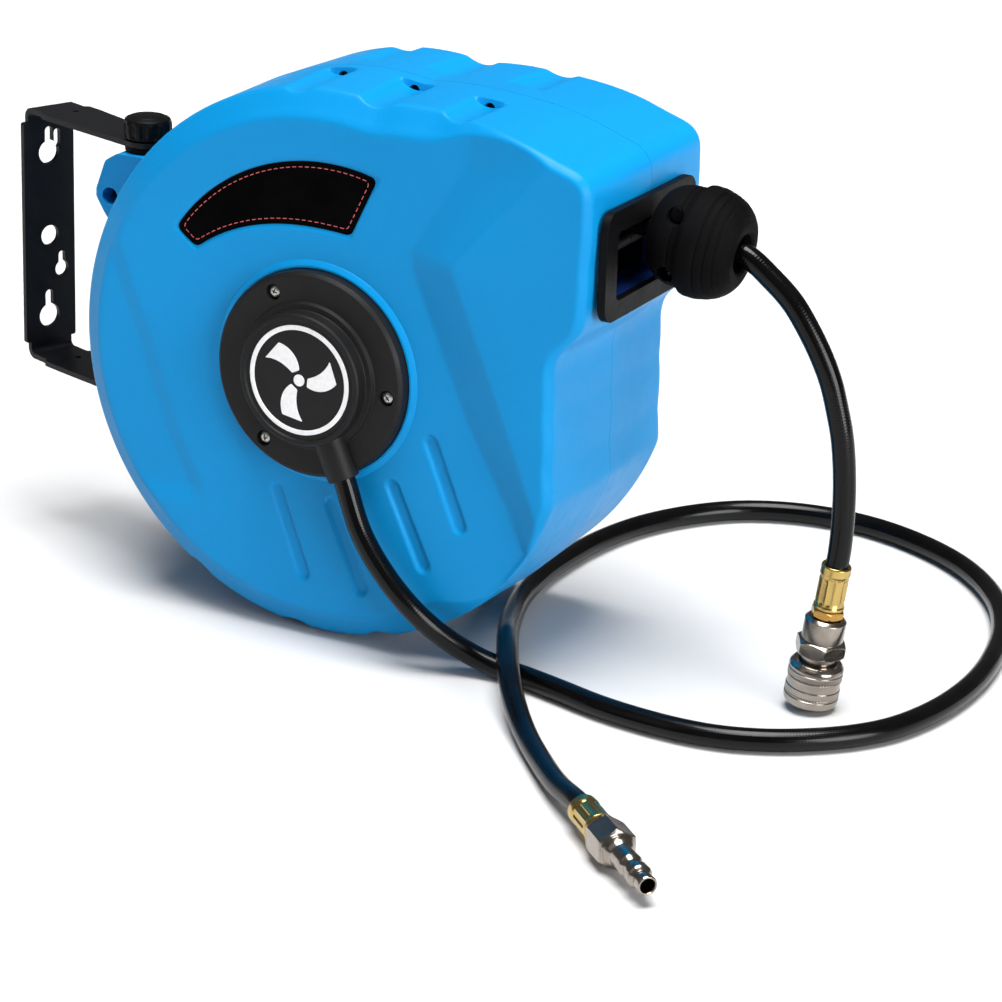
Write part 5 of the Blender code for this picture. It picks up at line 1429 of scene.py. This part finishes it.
def bracket():
    t, ro, w = 3.0, 6.0, 14.0
    outer = ([(16, HALF)] + arc(ro, HALF - ro, ro, 90, 180, 12)
             + arc(ro, -HALF + ro, ro, 180, 270, 12) + [(16, -HALF)])
    inner = ([(16, -HALF + t)] + arc(ro, -HALF + ro, ro - t, 270, 180, 12)
             + arc(ro, HALF - ro, ro - t, 180, 90, 12) + [(16, HALF - t)])
    ob = bm_ob("bracket_sheet", prism_bm(outer + inner, -w, w, "xz"), M_STEELBLK, WALL)
    ears = rounded([(-17, -HALF + 9), (17, -HALF + 9), (17, HALF - 9), (-17, HALF - 9)], 1.6, 5, True)
    carve(ob, prism_bm(ears, 0, t, "yz"), "UNION", WALL)
    for z in (HALF - t, -HALF):
        pts = [(15.9, -w), (18.4, -w), (20.6, -w - 2.5), (30, -w - 2.5), (100, -13)] \
            + arc(100, 0, 13, -80, 80, 40) + [(100, 13), (30, w + 2.5), (20.6, w + 2.5), (18.4, w),
                                             (15.9, w)]
        carve(ob, prism_bm(pts, z, z + t, "xy"), "UNION", WALL)
    cuts = [cyl_bm(4.35, -120, 120, (100, 0, 0), (0, 0, 1), 48)]
    for s in (1, -1):
        cuts.append(cyl_bm(1.8, s * HALF - 8, s * HALF + 8, (26, 3, 0), (0, 0, 1), 32))

    def key(y, zc, r, slots):
        out = [cyl_bm(r, -5, 8, (0, y, zc), (1, 0, 0), 40)]
        for sy, ztop, sr in slots:
            pts = [(sy - sr, zc), (sy + sr, zc)] + arc(sy, ztop - sr, sr, 0, 180, 14)
            out.append(prism_bm(pts, -5, 8, "yz"))
        return out
    cuts += key(0, 46.5, 6.9, [(0, 61.5, 2.6)])
    cuts += key(5.2, 50.5, 2.2, [(5.6, 59.5, 2.2)])
    cuts += key(0, -3, 6.0, [])
    cuts += key(8, -24, 4.6, [(8, -13.5, 2.3)])
    cuts += key(-1, -51, 6.9, [(-1, -35.5, 2.7)])
    for c in cuts:
        carve(ob, c, m=WALL)
    soft_edges(ob, 0.45, 3, 34)
    return ob


place(bracket(), "bracket", "black_steel", "wall_bracket")


# ------------------------------------------------------------ pivot rod, knob, nut
rod_ob = turn("rod_skin", rounded([(0, -86.5), (3.3, -86.5), (4.0, -85.8), (4.0, -72), (4.0, 77.1),
                                   (3.4, 77.7), (0, 77.7)], [0, .3, .4, 0, .3, .3, 0], 3),
              (100, 0, 0), (0, 0, 1), M_ZINC, WALL, 64,
              rfun=lambda PH, R, AL: R)
place(rod_ob, "pivot", "steel", "pivot_rod")


def knob_r(PH, R, AL):
    """Six wide grip flats with soft valleys between them."""
    a = AL - HALF
    zone = smoothstep(1.0, 3.0, a) * (1 - smoothstep(8.6, 11.2, a))
    k = np.cos(PH * 12)
    out = R > 10.5
    return R + np.where(out, zone * (-0.55 + 0.55 * np.tanh(2.2 * k)), 0)


kp = dense_prof(rounded([(0, 3.6), (5.6, 3.6), (5.6, 0.35), (12.0, 0.35), (12.9, 1.4), (13.5, 5.0),
                         (13.4, 9.2), (12.4, 11.6), (9.4, 12.9), (8.6, 12.4), (7.9, 12.9), (4.5, 13.3),
                         (0, 13.4)],
                        [0, .3, .3, .5, .8, 2, 1.6, 1.4, .4, .4, .5, 3, 0], 5), 0.6)
knob = turn("knob_skin", [(r, a + HALF) for r, a in kp], (100, 0, 0), (0, 0, 1), M_KNOB, WALL, 288,
            rfun=knob_r)
place(knob, "pivot", "black_plastic", "pivot_knob")
nut = hex_turn("nut_skin", 13.0, -HALF - 7.0, -HALF - 0.35, 0.5, (100, 0, 0), (0, 0, 1), M_ZINC,
               bore=4.25, m=WALL, seg=144)
place(nut, "pivot", "steel", "pivot_nut")

# -------------------------------------------- materials of the carried CAD nodes
INNER = {
    "drum_core": M_DRUM, "drum_flange_front": M_DRUM, "drum_flange_rear": M_DRUM,
    "ratchet_ring": M_DRUM, "wound_hose": None, "feed_hose": None,
    "drum_bush_front": M_BRASS, "drum_bush_rear": M_BRASS, "swivel_elbow": M_BRASS,
    "swivel_sleeve": M_BRASS, "swivel_seal": M_SEAL, "main_axle": M_ZINC, "spring_arbor": M_ZINC,
    "pawl_pin": M_ZINC, "pawl": M_ZINC, "spring_case": M_ZINC, "spring_cover": M_ZINC,
    "main_spring": M_SPRING, "pawl_spring": M_SPRING,
}


def wound_mat():
    q = Mat("hose_wound", coat=0.22, coat_rough=0.12, spec=0.2)
    n = q.noise(70.0, 4.0, 0.6)
    sc = q.noise(700.0, 4.0, 0.7)
    c = q.mix(q.remap(n, 0.35, 0.7, 0.0, 1.0), (0.0026, 0.0026, 0.0030), (0.0050, 0.0050, 0.0054))
    q.set("Base Color", c)
    q.set("Roughness", q.remap(sc, 0.3, 0.75, 0.22, 0.42))
    q.bump(q.noise(1500.0, 2.0, 0.5), 1.2e-5, 0.8)
    q.bump(n, 1.4e-4, 0.5)
    return q.m


M_WOUND = wound_mat()
PLAIN = {"swivel_elbow", "drum_bush_front", "drum_bush_rear"}
for node, mt in INNER.items():
    o = frame["nodes"].get(node) if isinstance(frame["nodes"], dict) else None
    if o is None:
        o = bpy.data.objects.get(node)
    if o is None:
        continue
    mt = mt or M_WOUND
    if len(o.material_slots) == 0:
        o.data.materials.append(mt)
    for s in o.material_slots:
        s.material = mt

# ------------------------------------------------------------------ floor, lights
low = min(b[2] for b in [cad_lo])
floor_m = Mat("studio_floor", rough=0.55, spec=0.2)
fn = floor_m.noise(14.0, 4.0, 0.6)
floor_m.set("Base Color", floor_m.mix(floor_m.remap(fn, 0.3, 0.7, 0.0, 1.0), (0.62, 0.62, 0.62),
                                      (0.64, 0.64, 0.64)))
floor_m.bump(floor_m.noise(900.0, 3.0, 0.6), 1e-5, 0.4)
bm = bmesh.new()
bmesh.ops.create_grid(bm, x_segments=24, y_segments=24, size=6.0)
bmesh.ops.translate(bm, vec=(0, 0, low - 0.0006), verts=bm.verts)
me = bpy.data.meshes.new("floor")
bm.to_mesh(me)
bm.free()
me.materials.append(floor_m.m)
floor = link(bpy.data.objects.new("floor", me))

world = bpy.data.worlds.new("studio")
bpy.context.scene.world = world
world.use_nodes = True
bg = world.node_tree.nodes["Background"]
bg.inputs[0].default_value = (1, 1, 1, 1)
bg.inputs[1].default_value = 0.12


def area(name, loc, target, size, power, colour=(1, 1, 1)):
    li = bpy.data.lights.new(name, "AREA")
    li.shape = "RECTANGLE"
    li.size, li.size_y = size
    li.energy = power
    li.color = colour
    ob = bpy.data.objects.new(name, li)
    ob.location = loc
    d = (Vector(target) - Vector(loc)).normalized()
    ob.rotation_euler = d.to_track_quat("-Z", "Y").to_euler()
    return link(ob)


mid = CASE @ Vector((40, 60, 10))
front = (cam.matrix_world.translation - mid).normalized()
side = front.cross(Vector((0, 0, 1))).normalized()
sun_data = bpy.data.lights.new("softbox", "SUN")
sun_data.energy = 5.4
sun_data.angle = math.radians(38)
sun = link(bpy.data.objects.new("softbox", sun_data))
to_light = CASE_ROT @ Vector((0.06, -0.10, 0.99))
sun.rotation_euler = (-to_light).to_track_quat("-Z", "Y").to_euler()
key_data = bpy.data.lights.new("key", "SUN")
key_data.energy = 3.0
key_data.angle = math.radians(34)
key = link(bpy.data.objects.new("key", key_data))
to_key = CASE_ROT @ Vector((0.90, -0.36, 0.24))
key.rotation_euler = (-to_key).to_track_quat("-Z", "Y").to_euler()
right = CASE_ROT @ Vector((1, 0, 0))
area("left", mid + front * 1.7 - right * 1.5 + Vector((0, 0, 0.5)), mid, (0.8, 1.4), 1.0)
bpy.context.scene.view_settings.view_transform = "Standard"
